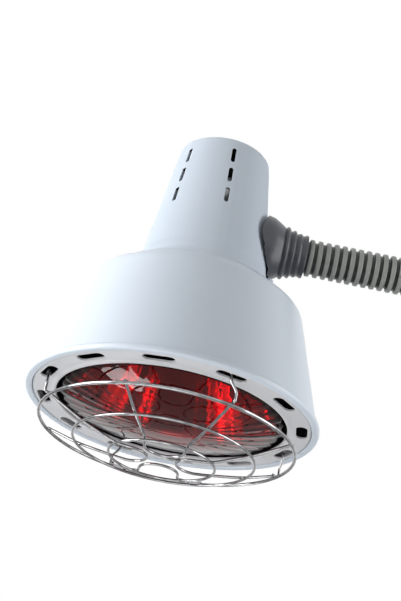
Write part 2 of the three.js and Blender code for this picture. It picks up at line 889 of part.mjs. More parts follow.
function bulbFilament() {
  const apex = reflectorApexZ - glassWall;
  const slope = (apex - reflectorBackZ) / (reflectorSteps * (bulbRadius - reflectorInset - glassWall));
  const top = apex - slope * (postSpread + postRadius) - seatGap;
  const low = top - filamentDrop;
  let made = solid(bar([-filamentLength / 2, 0, low], [filamentLength / 2, 0, low], filamentRadius, 8));
  for (const side of [-1, 1]) {
    made = made.add(solid(bar([side * postSpread, 0, top], [side * postSpread, 0, low], postRadius, 8)));
  }
  return made;
}

// Crest and root rings of the screw thread, offset outwards by a clearance between turning facets.
function threadProfile(offset) {
  const [root, crest] = [threadRoot, threadCrest].map((r) => (offset > 0 ? (r + offset) / facetFit : r));
  const points = [];
  for (let i = 0; i < threadTurns; i++) {
    const z = threadStartZ + threadPitch * i;
    points.push([root, z]);
    points.push([crest, z + threadPitch / 2]);
  }
  points.push([root, threadEndZ]);
  return points;
}

function bulbCap() {
  const collar = (stubRadius + seatGap) / facetFit;
  const outer = [
    [capSkirtRadius, capStartZ],
    ...threadProfile(0),
    [insulatorRadius + capWall, insulatorZ],
  ];
  const inner = [
    [insulatorRadius, insulatorZ],
    [threadRoot - capWall, threadEndZ - capWall],
    [threadRoot - capWall, threadStartZ],
    [collar, capStartZ + capWall],
    [collar, capStartZ],
  ];
  return solid(turned([...outer, ...inner], threadSides));
}

function capInsulator() {
  const lower = reflectorApexZ + stubLength + seatGap;
  const profile = [
    [0, lower],
    [insulatorRadius - seatGap, lower],
    [insulatorRadius - seatGap, insulatorZ + insulatorHeight / 2],
    [tipRadius + seatGap, insulatorZ + insulatorHeight],
    [0, insulatorZ + insulatorHeight],
  ];
  return solid(turned(profile, threadSides));
}

function tipContact() {
  const base = insulatorZ + insulatorHeight + seatGap;
  const profile = [
    [0, base],
    [tipRadius, base],
    [tipRadius * tipTopShare, bulbTop],
    [0, bulbTop],
  ];
  return solid(turned(profile, threadSides));
}

// Lampholder
const shellOuter = (threadCrest + threadGap) / facetFit + capWall;
const wellRadius = (threadRoot + threadGap) / facetFit;
const wellFloorZ = threadEndZ + seatGap;

function holderBody() {
  const cavity = shellOuter + seatGap;
  const profile = [
    [cavity, holderMouthZ],
    [holderRadius - holderRound, holderMouthZ],
    [holderRadius, holderMouthZ + holderRound],
    [holderRadius, holderShoulderZ],
    [holderTopRadius, holderShoulderZ + holderRound],
    [holderTopRadius, holderTopZ - holderRound],
    [holderTopRadius - holderRound, holderTopZ],
    [0, holderTopZ],
    [0, wellTopZ],
    [wellRadius, wellTopZ],
    [wellRadius, wellFloorZ + capWall],
    [cavity, wellFloorZ + capWall],
  ];
  const start = profile.findIndex(([r]) => r === 0);
  const ordered = [...profile.slice(start + 1), ...profile.slice(0, start + 1)];
  let body = solid(turned(ordered, threadSides));
  for (const side of [-1, 1]) {
    const y = side * holderScrewSpread;
    body = body.subtract(solid(bar([0, y, holderTopZ - screwGrip], [0, y, holderTopZ + overrun], screwRadius + seatGap, boltSides)));
  }
  return body;
}

function holderShell() {
  const inner = threadProfile(threadGap);
  const outer = [
    [shellOuter, threadEndZ],
    [shellOuter, threadStartZ],
  ];
  return solid(turned([...inner, ...outer], threadSides));
}

function holderContact() {
  const low = bulbTop + seatGap;
  const tongue = block(
    [-contactLength / 2, -contactWidth / 2, low],
    [contactLength / 2, contactWidth / 2, low + contactThickness],
  );
  const post = bar([0, 0, low + contactThickness / 2], [0, 0, wellTopZ - seatGap], contactPost, boltSides);
  return solid(tongue).add(solid(post));
}

// Bracket: a bridge over the lampholder on two legs with feet on the dome
function holderBracket() {
  const x0 = bracketSet - bracketWidth / 2;
  const x1 = bracketSet + bracketWidth / 2;
  let made = solid(block([x0, -bracketSpan, bridgeZ], [x1, bracketSpan, bridgeZ + bracketSheet]));
  for (const side of [-1, 1]) {
    const leg = [side * bracketHalfSpan, side * bracketSpan].sort((a, b) => a - b);
    const foot = [side * bracketHalfSpan, side * footEnd].sort((a, b) => a - b);
    made = made.add(solid(block([x0, leg[0], footZ], [x1, leg[1], bridgeZ + bracketSheet])));
    made = made.add(solid(block([x0, foot[0], footZ], [x1, foot[1], footZ + bracketSheet])));
  }
  for (const side of [-1, 1]) {
    const y = side * holderScrewSpread;
    made = made.subtract(solid(bar([0, y, bridgeZ - overrun], [0, y, bridgeZ + bracketSheet + overrun], screwRadius + seatGap, boltSides)));
    made = made.subtract(footBore(side));
  }
  return made;
}

function footBore(side) {
  const y = side * footScrewY;
  return solid(
    bar([bracketSet, y, plateauZ - sheet - overrun], [bracketSet, y, footZ + bracketSheet + overrun], screwRadius + seatGap, boltSides),
  );
}

// A screw whose head lies under a face (turn 1) or on top of one (turn -1).
function screw(x, y, faceZ, length, turn) {
  const points = [
    [0, faceZ - turn * (seatGap + screwHeadHeight)],
    [screwHeadRadius, faceZ - turn * (seatGap + screwHeadHeight)],
    [screwHeadRadius, faceZ - turn * seatGap],
    [screwRadius, faceZ - turn * seatGap],
    [screwRadius, faceZ + turn * length],
    [0, faceZ + turn * length],
  ];
  return solid(turned(points, boltSides).translate(x, y, 0));
}

// Leads from the swivel's bore to the lampholder and the bracket
function lead(index, end) {
  const a = radians(90 + 120 * index);
  const y = leadSpread * Math.cos(a);
  const z = armZ + leadSpread * Math.sin(a);
  const riseX = (holderRadius + nippleStart) / 2;
  return solid(
    wire(
      [
        [bossInner, y, z],
        [nippleStart - leadLift / 2, y, z],
        [riseX, y * 2, armZ + 3 * leadLift + (z - armZ)],
        [riseX, y * 2, holderShoulderZ],
        [holderTopRadius + leadLift / 2, y * 2, bridgeZ + leadLift],
        [end[0] + leadLift, end[1], bridgeZ + 2 * leadLift],
        [end[0], end[1], bridgeZ + leadLift],
        end,
      ],
      leadRadius,
      12,
      wireSides,
    ),
  );
}

// Assembly
let shade = shadeShell();
for (const side of [-1, 1]) shade = shade.subtract(footBore(side));
for (const a of rivetAngles) shade = shade.subtract(solid(rivetShank(a, rivetRadius + seatGap)));
add("shade_shell", shade, whiteEnamel);
add("vent_ring", ventRing(), ringEnamel);
add("guard_frame", guardFrame(), chrome);
add("guard_ring", guardHoop(guardRings[1].radius, guardRings[1].z, fineWire, neckSides), chrome);
add("wire_guard", wireGuard(), chrome);
add("neck_housing", neckHousing(), whiteEnamel);
rivetAngles.forEach((a, i) => add("neck_rivet_" + (i + 1), neckRivet(a), zincSteel));

add("holder_body", holderBody(), porcelain);
add("holder_shell", holderShell(), brass);
add("holder_contact", holderContact(), brass);
add("holder_bracket", holderBracket(), zincSteel);
[-1, 1].forEach((side, i) => {
  const y = side * holderScrewSpread;
  const headFace = bridgeZ + bracketSheet;
  add("holder_screw_" + (i + 1), screw(0, y, headFace, screwGrip, -1), zincSteel);
  const footLengthUp = sheet + seatGap + bracketSheet + screwRadius;
  add("bracket_screw_" + (i + 1), screw(bracketSet, side * footScrewY, plateauZ - sheet, footLengthUp, 1), zincSteel);
});
add("lead_live", lead(0, [terminalSet, 0, holderTopZ + seatGap]), leadBrown);
add("lead_neutral", lead(1, [terminalSet, -terminalSpread, holderTopZ + seatGap]), leadBlue);
add("lead_earth", lead(2, [earthTag, terminalSpread, bridgeZ + bracketSheet + seatGap]), leadGreen);

add("bulb_lens", bulbLens(), rubyGlass);
add("bulb_reflector", bulbReflector(), mirrorGlass);
add("bulb_filament", bulbFilament(), tungsten);
add("bulb_cap", bulbCap(), brass);
add("bulb_cap_insulator", capInsulator(), blackGlass);
add("bulb_tip_contact", tipContact(), zincSteel);

add("swivel_nipple", swivelNipple(), zincSteel);
add("swivel_washer", washer(washerStart, washerThickness, washerStep), zincSteel);
add("swivel_nut", hexNut(nutStart, nutHeight), zincSteel);
add("boot", boot(), bootRubber);
for (let number = 1; number <= linkCount; number++) {
  const tag = String(number).padStart(2, "0");
  add("core_link_" + tag, coreLink(number), zincSteel);
  add("sleeve_" + tag, sleeve(number), sleevePlastic);
}

add("end_ferrule", endFerrule(), bootRubber);
add("end_core", endCore(), zincSteel);
const endNippleStart = endWallX - endNippleGrip + seatGap;
add("end_nipple", solid(turnedOnArm(tubeProfile(endNippleStart, endNippleEnd, nippleRadius, nippleBore), boreSides)), zincSteel);
add("end_washer", washer(seatX + clampGrip, endWasherThickness, endWasherStep), zincSteel);
add("end_nut", hexNut(seatX + clampGrip + endWasherThickness + seatGap, endNutHeight), zincSteel);
add("cord_bush", cordBush(), blackPlastic);

lamp.position.set(-seatX, 0, -armZ);

export default lamp;
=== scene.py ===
"""An infrared heat therapy lamp head on its flexible arm, dressed over the rigid frame."""
import json
import math

import bpy
from mathutils import Matrix, Vector


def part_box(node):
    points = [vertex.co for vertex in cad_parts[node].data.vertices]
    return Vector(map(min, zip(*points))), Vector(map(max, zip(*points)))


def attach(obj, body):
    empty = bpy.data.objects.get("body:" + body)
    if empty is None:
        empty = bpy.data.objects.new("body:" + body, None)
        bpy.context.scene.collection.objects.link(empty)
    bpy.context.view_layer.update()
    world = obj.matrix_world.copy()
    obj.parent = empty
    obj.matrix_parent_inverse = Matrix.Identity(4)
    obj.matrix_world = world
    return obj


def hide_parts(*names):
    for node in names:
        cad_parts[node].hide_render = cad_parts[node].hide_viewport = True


bl_info = {
    "name": "Heat therapy lamp",
    "version": (1, 0, 0),
    "blender": (4, 5, 0),
    "location": "View3D > Sidebar > Heat lamp",
    "description": "Models an infrared heat therapy lamp head with its guard, bulb and flexible arm",
    "category": "Object",
}

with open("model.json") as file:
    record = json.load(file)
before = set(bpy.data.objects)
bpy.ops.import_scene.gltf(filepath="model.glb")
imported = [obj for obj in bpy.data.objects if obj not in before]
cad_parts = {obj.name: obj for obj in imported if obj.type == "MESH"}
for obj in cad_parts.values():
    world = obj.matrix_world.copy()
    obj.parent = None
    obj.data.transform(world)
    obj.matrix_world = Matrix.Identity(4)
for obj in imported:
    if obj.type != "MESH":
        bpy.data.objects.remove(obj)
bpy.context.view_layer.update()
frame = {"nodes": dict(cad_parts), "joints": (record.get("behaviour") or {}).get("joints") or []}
MM = 0.001

# Corners of the solids that give sizes and places
LENS_LOW, LENS_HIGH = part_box("bulb_lens")
RING_LOW, RING_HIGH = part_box("vent_ring")
SHADE_LOW, SHADE_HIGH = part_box("shade_shell")
NECK_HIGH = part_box("neck_housing")[1]
SLEEVE_LOW, SLEEVE_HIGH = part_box("sleeve_12")
FERRULE_LOW, FERRULE_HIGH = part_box("end_ferrule")

# The lamp's own frame: its axis, and the lower face of its vent ring above the rolled edge
RING_BEAD = 0.8
LAMP_X = (LENS_LOW.x + LENS_HIGH.x) / 2
FACE_Z = RING_LOW.z + RING_BEAD * MM
ARM_HEIGHT = -FACE_Z / MM

# Sizes that the solids give, in millimetres
BULB_RADIUS = (LENS_HIGH.x - LENS_LOW.x) / 2 / MM
RIM_RADIUS = (SHADE_HIGH.x - SHADE_LOW.x) / 2 / MM
DOME_HEIGHT = (SHADE_HIGH.z - FACE_Z) / MM
NECK_TOP = (NECK_HIGH.z - FACE_Z) / MM
CREST_RADIUS = (SLEEVE_HIGH.z - SLEEVE_LOW.z) / 2 / MM

# Joints of the flexible arm, from its end fitting to the lamp
ARM_JOINTS = [joint for joint in frame["joints"] if joint["name"].startswith(("bend_", "swing_"))]
BODIES = ["arm_end"] + [joint["child"] for joint in ARM_JOINTS]
JOINT_X = [(joint["pos_m"][0] - LAMP_X) / MM for joint in ARM_JOINTS]

# The camera of the photograph: its place in the lamp's frame, and its directions
IMAGE_SIZE = (401, 601)
FOCAL_PIXELS = 1150
SENSOR = 36
CAMERA_PLACE = (5.85, -572.4, -222.75)
CAMERA_RIGHT = (0.98056, -0.08613, 0.17629)
CAMERA_UP = (-0.19617, -0.44737, 0.87257)

# A radius that stands for a point on the axis, and the gap between pieces that touch, in millimetres
POINT_RADIUS = 0.001
SEAT_GAP = 0.3

# Sides of the round pieces
SHADE_SIDES = 160
BOOT_SIDES = 128
FERRULE_SIDES = 96
SLEEVE_SIDES = 72
WASHER_SIDES = 64
BOLT_SIDES = 48
RIVET_SIDES = 32


def length(name, description, millimetres):
    return bpy.props.FloatProperty(
        name=name,
        description=description,
        default=millimetres * MM,
        unit="LENGTH",
        subtype="DISTANCE",
        precision=4,
    )


def colour(name, description, value):
    linear = [((c / 255 + 0.055) / 1.055) ** 2.4 if c > 10 else c / 255 / 12.92 for c in value]
    return bpy.props.FloatVectorProperty(
        name=name, description=description, default=linear, size=3, min=0, max=1, subtype="COLOR"
    )


class HeatLampSizes(bpy.types.PropertyGroup):
    """Sizes of the lamp head and its arm"""

    bulb_radius: length("Bulb radius", "Radius of the bulb's front", BULB_RADIUS)
    rim_radius: length("Rim radius", "Radius of the shade's rolled rim", RIM_RADIUS)
    dome_height: length("Dome height", "Height of the shade's top above the vent ring", DOME_HEIGHT)
    neck_top: length("Neck top", "Height of the neck's top above the vent ring", NECK_TOP)
    frame_wire: length("Frame wire", "Radius of the guard's frame ring", 0.9)
    fine_wire: length("Fine wire", "Radius of the guard's inner rings, bent wires and hooks", 0.75)
    crest_radius: length("Sleeve crests", "Radius of the sleeve on its ribs", CREST_RADIUS)
    groove_radius: length("Sleeve grooves", "Radius of the sleeve between its ribs", 9.2)
    rib_pitch: length("Rib pitch", "Distance from one rib of the sleeve to the next", 4.75)
    boot_radius: length("Boot mouth", "Radius of the rubber boot at its mouth", 18.9)


class HeatLampColours(bpy.types.PropertyGroup):
    """Colours of the lamp's finishes"""

    enamel: colour("Enamel", "Powder coat of the shade and the neck", (214, 224, 235))
    ring: colour("Vent ring", "Powder coat of the vent ring", (218, 219, 222))
    # Inside is painted shade: a near-black lining inside the shade, the neck and the boot that stands in for
    # their shade
    inside: colour("Inside", "Dark paint inside the shade and the neck", (18, 18, 22))
    ruby: colour("Ruby glass", "Tint of the bulb's front", (172, 42, 50))
    boot: colour("Boot", "Rubber of the boot", (78, 80, 87))
    sleeve: colour("Sleeve", "Ribs of the flexible sleeve", (152, 155, 150))
    # The grooves' colour is painted shade, darker than the ribs
    groove: colour("Grooves", "Grooves of the flexible sleeve", (24, 26, 26))


# Shaping


def clear_selection():
    if bpy.context.mode != "OBJECT":
        bpy.ops.object.mode_set(mode="OBJECT")
    bpy.ops.object.select_all(action="DESELECT")


def choose(piece):
    clear_selection()
    piece.select_set(True)
    bpy.context.view_layer.objects.active = piece


def lamp_place(x, y, z):
    """A place in the lamp's own frame, in millimetres."""
    return Vector((LAMP_X + x * MM, y * MM, FACE_Z + z * MM))


def polar(radius, degrees, z):
    return (radius * math.cos(math.radians(degrees)), radius * math.sin(math.radians(degrees)), z)


def arc(centre_r, centre_z, radius, start, end, steps):
    """Points of an arc in a profile, from one angle to another in degrees."""
    points = []
    for i in range(steps + 1):
        angle = math.radians(start + (end - start) * i / steps)
        points.append((centre_r + radius * math.cos(angle), centre_z + radius * math.sin(angle)))
    return points


def tangent_angle(centre_r, centre_z, radius, point_r, point_z, side):
    """The angle at which a line from a point outside touches a circle."""
    r, z = point_r - centre_r, point_z - centre_z
    return math.degrees(math.atan2(z, r) + side * math.acos(radius / math.hypot(r, z)))


def ring_place(ring, axis):
    """The centre of a ring of (radius, height, step aside)."""
    aside = ring[2] if len(ring) > 2 else 0
    if axis == "Z":
        return lamp_place(aside, 0, ring[1])
    return lamp_place(ring[1], 0, ARM_HEIGHT + aside)


def raise_rings(name, rings, sides, axis="Z"):
    """Raises a round piece from a circle, extruding and scaling its edge from ring to ring."""
    clear_selection()
    turn = (0, math.pi / 2, 0) if axis == "X" else (0, 0, 0)
    radius = max(rings[0][0], POINT_RADIUS) * MM
    place = ring_place(rings[0], axis)
    bpy.ops.mesh.primitive_circle_add(vertices=sides, radius=radius, location=place, rotation=turn)
    piece = bpy.context.active_object
    piece.name = name
    bpy.ops.object.transform_apply()
    bpy.ops.object.mode_set(mode="EDIT")
    for before, ring in zip(rings, rings[1:]):
        move = ring_place(ring, axis) - ring_place(before, axis)
        bpy.ops.mesh.extrude_region_move(TRANSFORM_OT_translate={"value": move})
        grow = max(ring[0], POINT_RADIUS) / max(before[0], POINT_RADIUS)
        value = (1, grow, grow) if axis == "X" else (grow, grow, 1)
        bpy.ops.transform.resize(value=value, center_override=ring_place(ring, axis))
    bpy.ops.mesh.select_all(action="SELECT")
    bpy.ops.mesh.remove_doubles(threshold=5e-6)
    bpy.ops.mesh.normals_make_consistent(inside=False)
    bpy.ops.object.mode_set(mode="OBJECT")
    return piece


def smooth(piece, degrees=38):
    choose(piece)
    bpy.ops.object.shade_smooth_by_angle(angle=math.radians(degrees))


def modify(piece, kind, **settings):
    """Adds a modifier, sets it and applies it."""
    choose(piece)
    modifier = piece.modifiers.new(kind.lower(), kind)
    for key, value in settings.items():
        setattr(modifier, key, value)
    bpy.ops.object.modifier_apply(modifier=modifier.name)


def take_away(piece, tool):
    """Cuts a tool's shape out of a piece."""
    modify(piece, "BOOLEAN", operation="DIFFERENCE", solver="EXACT", object=tool)
    bpy.data.objects.remove(tool)


def join(name, pieces):
    choose(pieces[0])
    for piece in pieces:
        piece.select_set(True)
    if len(pieces) > 1:
        bpy.ops.object.join()
    pieces[0].name = name
    return pieces[0]


def slot_tool(place, length_mm, width_mm, depth_mm, turn):
    """A stadium-shaped tool: long in Y and deep in Z before it is turned about Z."""
    size = (width_mm * MM, length_mm * MM, depth_mm * MM)
    almost_half = width_mm * MM * 0.499
    clear_selection()
    bpy.ops.mesh.primitive_cube_add(size=1, location=(0, 0, 0))
    tool = bpy.context.active_object
    bpy.ops.object.mode_set(mode="EDIT")
    bpy.ops.transform.resize(value=size, center_override=(0, 0, 0))
    bpy.ops.object.mode_set(mode="OBJECT")
    for edge in tool.data.edges:
        a, b = (tool.data.vertices[i].co for i in edge.vertices)
        edge.select = abs(a.z - b.z) > depth_mm * MM / 2
    for polygon in tool.data.polygons:
        polygon.select = False
    bpy.ops.object.mode_set(mode="EDIT")
    bpy.ops.mesh.select_mode(type="EDGE")
    bpy.ops.mesh.bevel(offset=almost_half, segments=5, affect="EDGES")
    bpy.ops.mesh.select_mode(type="VERT")
    bpy.ops.object.mode_set(mode="OBJECT")
    tool.data.transform(Matrix.Translation(place) @ Matrix.Rotation(turn, 4, "Z"))
    return tool


def bend_wire(name, points, radius, closed=False):
    """A round wire along points, drawn by extruding a point and thickened as a curve."""
    clear_selection()
    bpy.ops.mesh.primitive_circle_add(vertices=3, radius=MM, location=(0, 0, 0))
    piece = bpy.context.active_object
    piece.name = name
    bpy.ops.object.mode_set(mode="EDIT")
    bpy.ops.mesh.select_all(action="SELECT")
    bpy.ops.mesh.merge(type="CENTER")
    places = [lamp_place(*point) for point in points]
    bpy.ops.transform.translate(value=places[0])
    for before, place in zip(places, places[1:]):
        bpy.ops.mesh.extrude_region_move(TRANSFORM_OT_translate={"value": place - before})
    if closed:
        bpy.ops.mesh.select_all(action="SELECT")
        bpy.ops.mesh.remove_doubles(threshold=1e-5)
    bpy.ops.object.mode_set(mode="OBJECT")
    bpy.ops.object.convert(target="CURVE")
    piece = bpy.context.active_object
    piece.data.bevel_depth = radius * MM
    piece.data.bevel_resolution = 3
    piece.data.use_fill_caps = not closed
    bpy.ops.object.convert(target="MESH")
    piece = bpy.context.active_object
    smooth(piece, 60)
    return piece


def rounded(points, radius, steps=5):
    """Points of a path with its corners rounded."""
    path = [Vector(p) for p in points]
    out = [path[0]]
    for before, corner, after in zip(path, path[1:], path[2:]):
        to_before, to_after = (before - corner), (after - corner)
        reach = min(radius, to_before.length * 0.49, to_after.length * 0.49)
        a = corner + to_before.normalized() * reach
        b = corner + to_after.normalized() * reach
        for i in range(steps + 1):
            t = i / steps
            out.append(a * (1 - t) ** 2 + corner * 2 * t * (1 - t) + b * t**2)
    out.append(path[-1])
    return [tuple(p) for p in out]


# Finishes


def shader(name):
    material = bpy.data.materials.new(name)
    material.use_nodes = True
    nodes = material.node_tree.nodes
    return material, nodes, material.node_tree.links, nodes["Principled BSDF"]


def noise(nodes, links, scale, detail=3.0):
    """Noise on the object's own coordinates, with features about 1/scale metres across."""
    place = nodes.new("ShaderNodeTexCoord")
    texture = nodes.new("ShaderNodeTexNoise")
    texture.inputs["Scale"].default_value = scale
    texture.inputs["Detail"].default_value = detail
    links.new(place.outputs["Object"], texture.inputs["Vector"])
    return texture.outputs["Fac"]


def ramp(nodes, links, source, low, high, start=0.35, end=0.65):
    """Turns a grey pattern into two near colours."""
    band = nodes.new("ShaderNodeValToRGB")
    band.color_ramp.elements[0].position = start
    band.color_ramp.elements[1].position = end
    band.color_ramp.elements[0].color = (*low, 1)
    band.color_ramp.elements[1].color = (*high, 1)
    links.new(source, band.inputs["Fac"])
    return band.outputs["Color"]


def spread(nodes, links, source, low, high):
    """Turns a grey pattern into a range of values."""
    span = nodes.new("ShaderNodeMapRange")
    span.inputs["To Min"].default_value = low
    span.inputs["To Max"].default_value = high
    links.new(source, span.inputs["Value"])
    return span.outputs["Result"]


def relief(nodes, links, body, source, height):
    bump = nodes.new("ShaderNodeBump")
    bump.inputs["Distance"].default_value = height
    bump.inputs["Strength"].default_value = 1.0
    links.new(source, bump.inputs["Height"])
    links.new(bump.outputs["Normal"], body.inputs["Normal"])


COAT_ROUGHNESS = 0.28


def finish(
    name, tint, roughness, metallic=0.0, mottle=0.04, mottle_scale=45, grain=0.0, grain_scale=900, coat=0.0
):
    """A plain finish with cloudy colour, uneven gloss and, where it is given, a fine grain."""
    material, nodes, links, body = shader(name)
    cloud = noise(nodes, links, mottle_scale, 4.0)
    dark = [c * (1 - mottle) for c in tint]
    light = [min(1, c * (1 + mottle)) for c in tint]
    links.new(ramp(nodes, links, cloud, dark, light), body.inputs["Base Color"])
    links.new(spread(nodes, links, cloud, roughness * 0.85, roughness * 1.15), body.inputs["Roughness"])
    body.inputs["Metallic"].default_value = metallic
    body.inputs["Coat Weight"].default_value = coat
    body.inputs["Coat Roughness"].default_value = COAT_ROUGHNESS
    if grain:
        relief(nodes, links, body, noise(nodes, links, grain_scale, 2.0), grain * MM)
    return material


def ruby_glass(tint):
    """Clear ruby glass, its stain a little uneven."""
    material, nodes, links, body = shader("ruby_glass")
    body.inputs["Transmission Weight"].default_value = 1.0
    body.inputs["IOR"].default_value = 1.3
    body.inputs["Specular IOR Level"].default_value = 0.3
    wave = noise(nodes, links, 30, 2.0)
    deep, light = [c * 0.8 for c in tint], [min(1, c * 1.1) for c in tint]
    links.new(ramp(nodes, links, wave, deep, light), body.inputs["Base Color"])
    links.new(spread(nodes, links, wave, 0.0, 0.03), body.inputs["Roughness"])
    return material


def ribbed_plastic_painted_shade(rib, groove):
    """Satin plastic with painted shade that darkens its grooves, by the depth kept on the sleeve's points.
    """
    material, nodes, links, body = shader("sleeve_plastic")
    depth = nodes.new("ShaderNodeAttribute")
    depth.attribute_name = "rib_height_for_painted_shade"
    # Painted shade: the grooves darker than the ribs
    shade = ramp(nodes, links, depth.outputs["Fac"], groove, rib, 0.25, 0.8)
    links.new(shade, body.inputs["Base Color"])
    cloud = noise(nodes, links, 160, 3.0)
    links.new(spread(nodes, links, cloud, 0.28, 0.4), body.inputs["Roughness"])
    relief(nodes, links, body, noise(nodes, links, 1400, 2.0), 0.02 * MM)
    return material


def dress(piece, *materials):
    piece.data.materials.clear()
    for material in materials:
        piece.data.materials.append(material)


def line_with_painted_shade(piece, material, is_inside):
    """Gives the faces that are inside a second finish, a painted shade."""
    piece.data.materials.append(material)
    for face in piece.data.polygons:
        if is_inside(face):
            face.material_index = len(piece.data.materials) - 1


def on_body(piece, body, slot, *nodes):
    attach(piece, body)
    if nodes:
        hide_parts(*nodes)


FINISHES = {}


def sizes():
    return bpy.context.scene.heat_lamp_sizes


def colours():
    return bpy.context.scene.heat_lamp_colours


class HEATLAMP_OT_finishes(bpy.types.Operator):
    """Mixes the finishes of the enamel, metals, glass, rubber and plastics"""

    bl_idname = "heatlamp.finishes"
    bl_label = "Finishes"

    def execute(self, context):
        tints = colours()
        FINISHES.update(
            enamel=finish(
                "white_enamel",
                tints.enamel,
                0.42,
                mottle=0.012,
                mottle_scale=18,
                grain=0.05,
                grain_scale=420,
                coat=0.3,
            ),
            ring=finish(
                "ring_enamel", tints.ring, 0.38, mottle=0.015, mottle_scale=30, grain=0.04, grain_scale=500
            ),
            # Painted shade: near-black paint for the insides, standing in for the shade there
            inside=finish("painted_shade_lining", tints.inside, 0.6, mottle=0.1),
            chrome=finish("chrome_wire", (0.36, 0.36, 0.37), 0.1, 1.0, mottle=0.25, mottle_scale=260),
            zinc=finish(
                "zinc_steel",
                (0.45, 0.46, 0.48),
                0.35,
                1.0,
                mottle=0.12,
                mottle_scale=140,
                grain=0.02,
                grain_scale=1500,
            ),
            brass=finish("brass", (0.58, 0.36, 0.07), 0.28, 1.0, mottle=0.1, mottle_scale=120),
            mirror=finish("mirror_glass", (0.78, 0.78, 0.8), 0.13, 1.0, mottle=0.05, mottle_scale=40),
            black_glass=finish("black_glass", (0.012, 0.012, 0.016), 0.12, mottle=0.2),
            # Porcelain, its tone partly darkened as painted shade where it shows through the neck's vents
            porcelain=finish("porcelain", (0.5, 0.48, 0.42), 0.22, mottle=0.02, grain=0.03, grain_scale=300),
            rubber=finish(
                "boot_rubber", tints.boot, 0.3, mottle=0.05, mottle_scale=120, grain=0.03, grain_scale=1100
            ),
            black_plastic=finish(
                "black_plastic", (0.014, 0.014, 0.016), 0.45, mottle=0.1, grain=0.02, grain_scale=1200
            ),
            brown=finish("lead_brown", (0.1, 0.04, 0.015), 0.45, mottle=0.1),
            blue=finish("lead_blue", (0.02, 0.06, 0.25), 0.45, mottle=0.1),
            green=finish("lead_green", (0.1, 0.25, 0.02), 0.45, mottle=0.1),
            tungsten=finish("tungsten", (0.25, 0.25, 0.27), 0.4, 1.0, mottle=0.1, mottle_scale=800),
            ruby=ruby_glass(tints.ruby),
            sleeve=ribbed_plastic_painted_shade(tints.sleeve, tints.groove),
        )
        return {"FINISHED"}


# Strength of the surroundings' light on the lamp, and of the floor's glow where it is seen. The floor's
# drop below the lamp and its size are in metres
AMBIENT = 0.21
FLOOR_GLOW = 0.14
FLOOR_DROP = 1.3
FLOOR_SIZE = 8

# The lamps as (name, place in millimetres, size in metres, watts, aim). The patches show only
# through the glass
LIGHTS = (
    ("key", (-800, -230, 60), (0.6, 1.0), 10.5, (0, 0, 60)),
    ("fill", (800, -160, 60), (0.5, 1.0), 4.7, (0, 0, 60)),
    ("low_fill", (-90, -200, -430), (0.4, 0.3), 0.85, (0, 0, 0)),
    ("window", (-131, 288, -362), (0.1, 0.08), 0.17, (-26, -42, -2)),
    ("patch_right", (535, -725, -410), (0.2, 0.08), 0.9, (0, 0, 0)),
    ("patch_far_right", (920, -240, -290), (0.12, 0.3), 0.7, (0, 0, 0)),
    ("patch_left", (-890, -240, -330), (0.14, 0.24), 2.4, (0, 0, 0)),
    ("patch_low_left", (-540, -720, -440), (0.1, 0.1), 0.1, (0, 0, 0)),
)


def seen_directly(nodes, links):
    """One for the camera and for what metal and glass show, and nothing for the light on the object."""
    path = nodes.new("ShaderNodeLightPath")
    both = path.outputs["Is Camera Ray"]
    for kind in ("Is Glossy Ray", "Is Transmission Ray"):
        either = nodes.new("ShaderNodeMath")
        either.operation = "MAXIMUM"
        links.new(both, either.inputs[0])
        links.new(path.outputs[kind], either.inputs[1])
        both = either.outputs[0]
    return both


class HEATLAMP_OT_stage(bpy.types.Operator):
    """Sets the floor, the lamps and the camera"""

    bl_idname = "heatlamp.stage"
    bl_label = "Stage"

    def execute(self, context):
        world = bpy.data.worlds.new("studio")
        context.scene.world = world
        world.use_nodes = True
        nodes, links = world.node_tree.nodes, world.node_tree.links
        background = nodes["Background"]
        background.inputs["Color"].default_value = (1, 1, 1, 1)
        strength = spread(nodes, links, seen_directly(nodes, links), AMBIENT, 1)
        links.new(strength, background.inputs["Strength"])
        self.floor()
        self.lights()
        self.camera(context)
        context.scene.view_settings.view_transform = "Standard"
        return {"FINISHED"}

    def floor(self):
        clear_selection()
        bpy.ops.mesh.primitive_plane_add(size=FLOOR_SIZE, location=(LAMP_X, 0, FACE_Z - FLOOR_DROP))
        floor = bpy.context.active_object
        floor.name = "floor"
        material, nodes, links, body = shader("floor_paper")
        body.inputs["Base Color"].default_value = (0.86, 0.86, 0.86, 1)
        body.inputs["Roughness"].default_value = 0.9
        body.inputs["Emission Color"].default_value = (1, 1, 1, 1)
        glow = spread(nodes, links, seen_directly(nodes, links), 0, FLOOR_GLOW)
        links.new(glow, body.inputs["Emission Strength"])
        dress(floor, material)

    def lights(self):
        for name, place, size, power, aim in LIGHTS:
            clear_selection()
            bpy.ops.object.light_add(type="AREA", location=lamp_place(*place))
            light = bpy.context.active_object
            light.name = name
            light.data.shape = "RECTANGLE"
            light.data.size, light.data.size_y = size
            light.data.energy = power
            light.visible_camera = False
            if name.startswith("patch"):
                light.visible_diffuse = light.visible_glossy = False
            away = lamp_place(*place) - lamp_place(*aim)
            light.rotation_euler = away.to_track_quat("Z", "Y").to_euler()

    def camera(self, context):
        bpy.ops.object.camera_add(location=lamp_place(*CAMERA_PLACE))
        camera = context.active_object
        right, up = Vector(CAMERA_RIGHT), Vector(CAMERA_UP)
        camera.rotation_mode = "QUATERNION"
        camera.rotation_quaternion = Matrix((right, up, right.cross(up))).transposed().to_quaternion()
        camera.data.sensor_width = SENSOR
        camera.data.lens = FOCAL_PIXELS / max(IMAGE_SIZE) * SENSOR
        context.scene.camera = camera


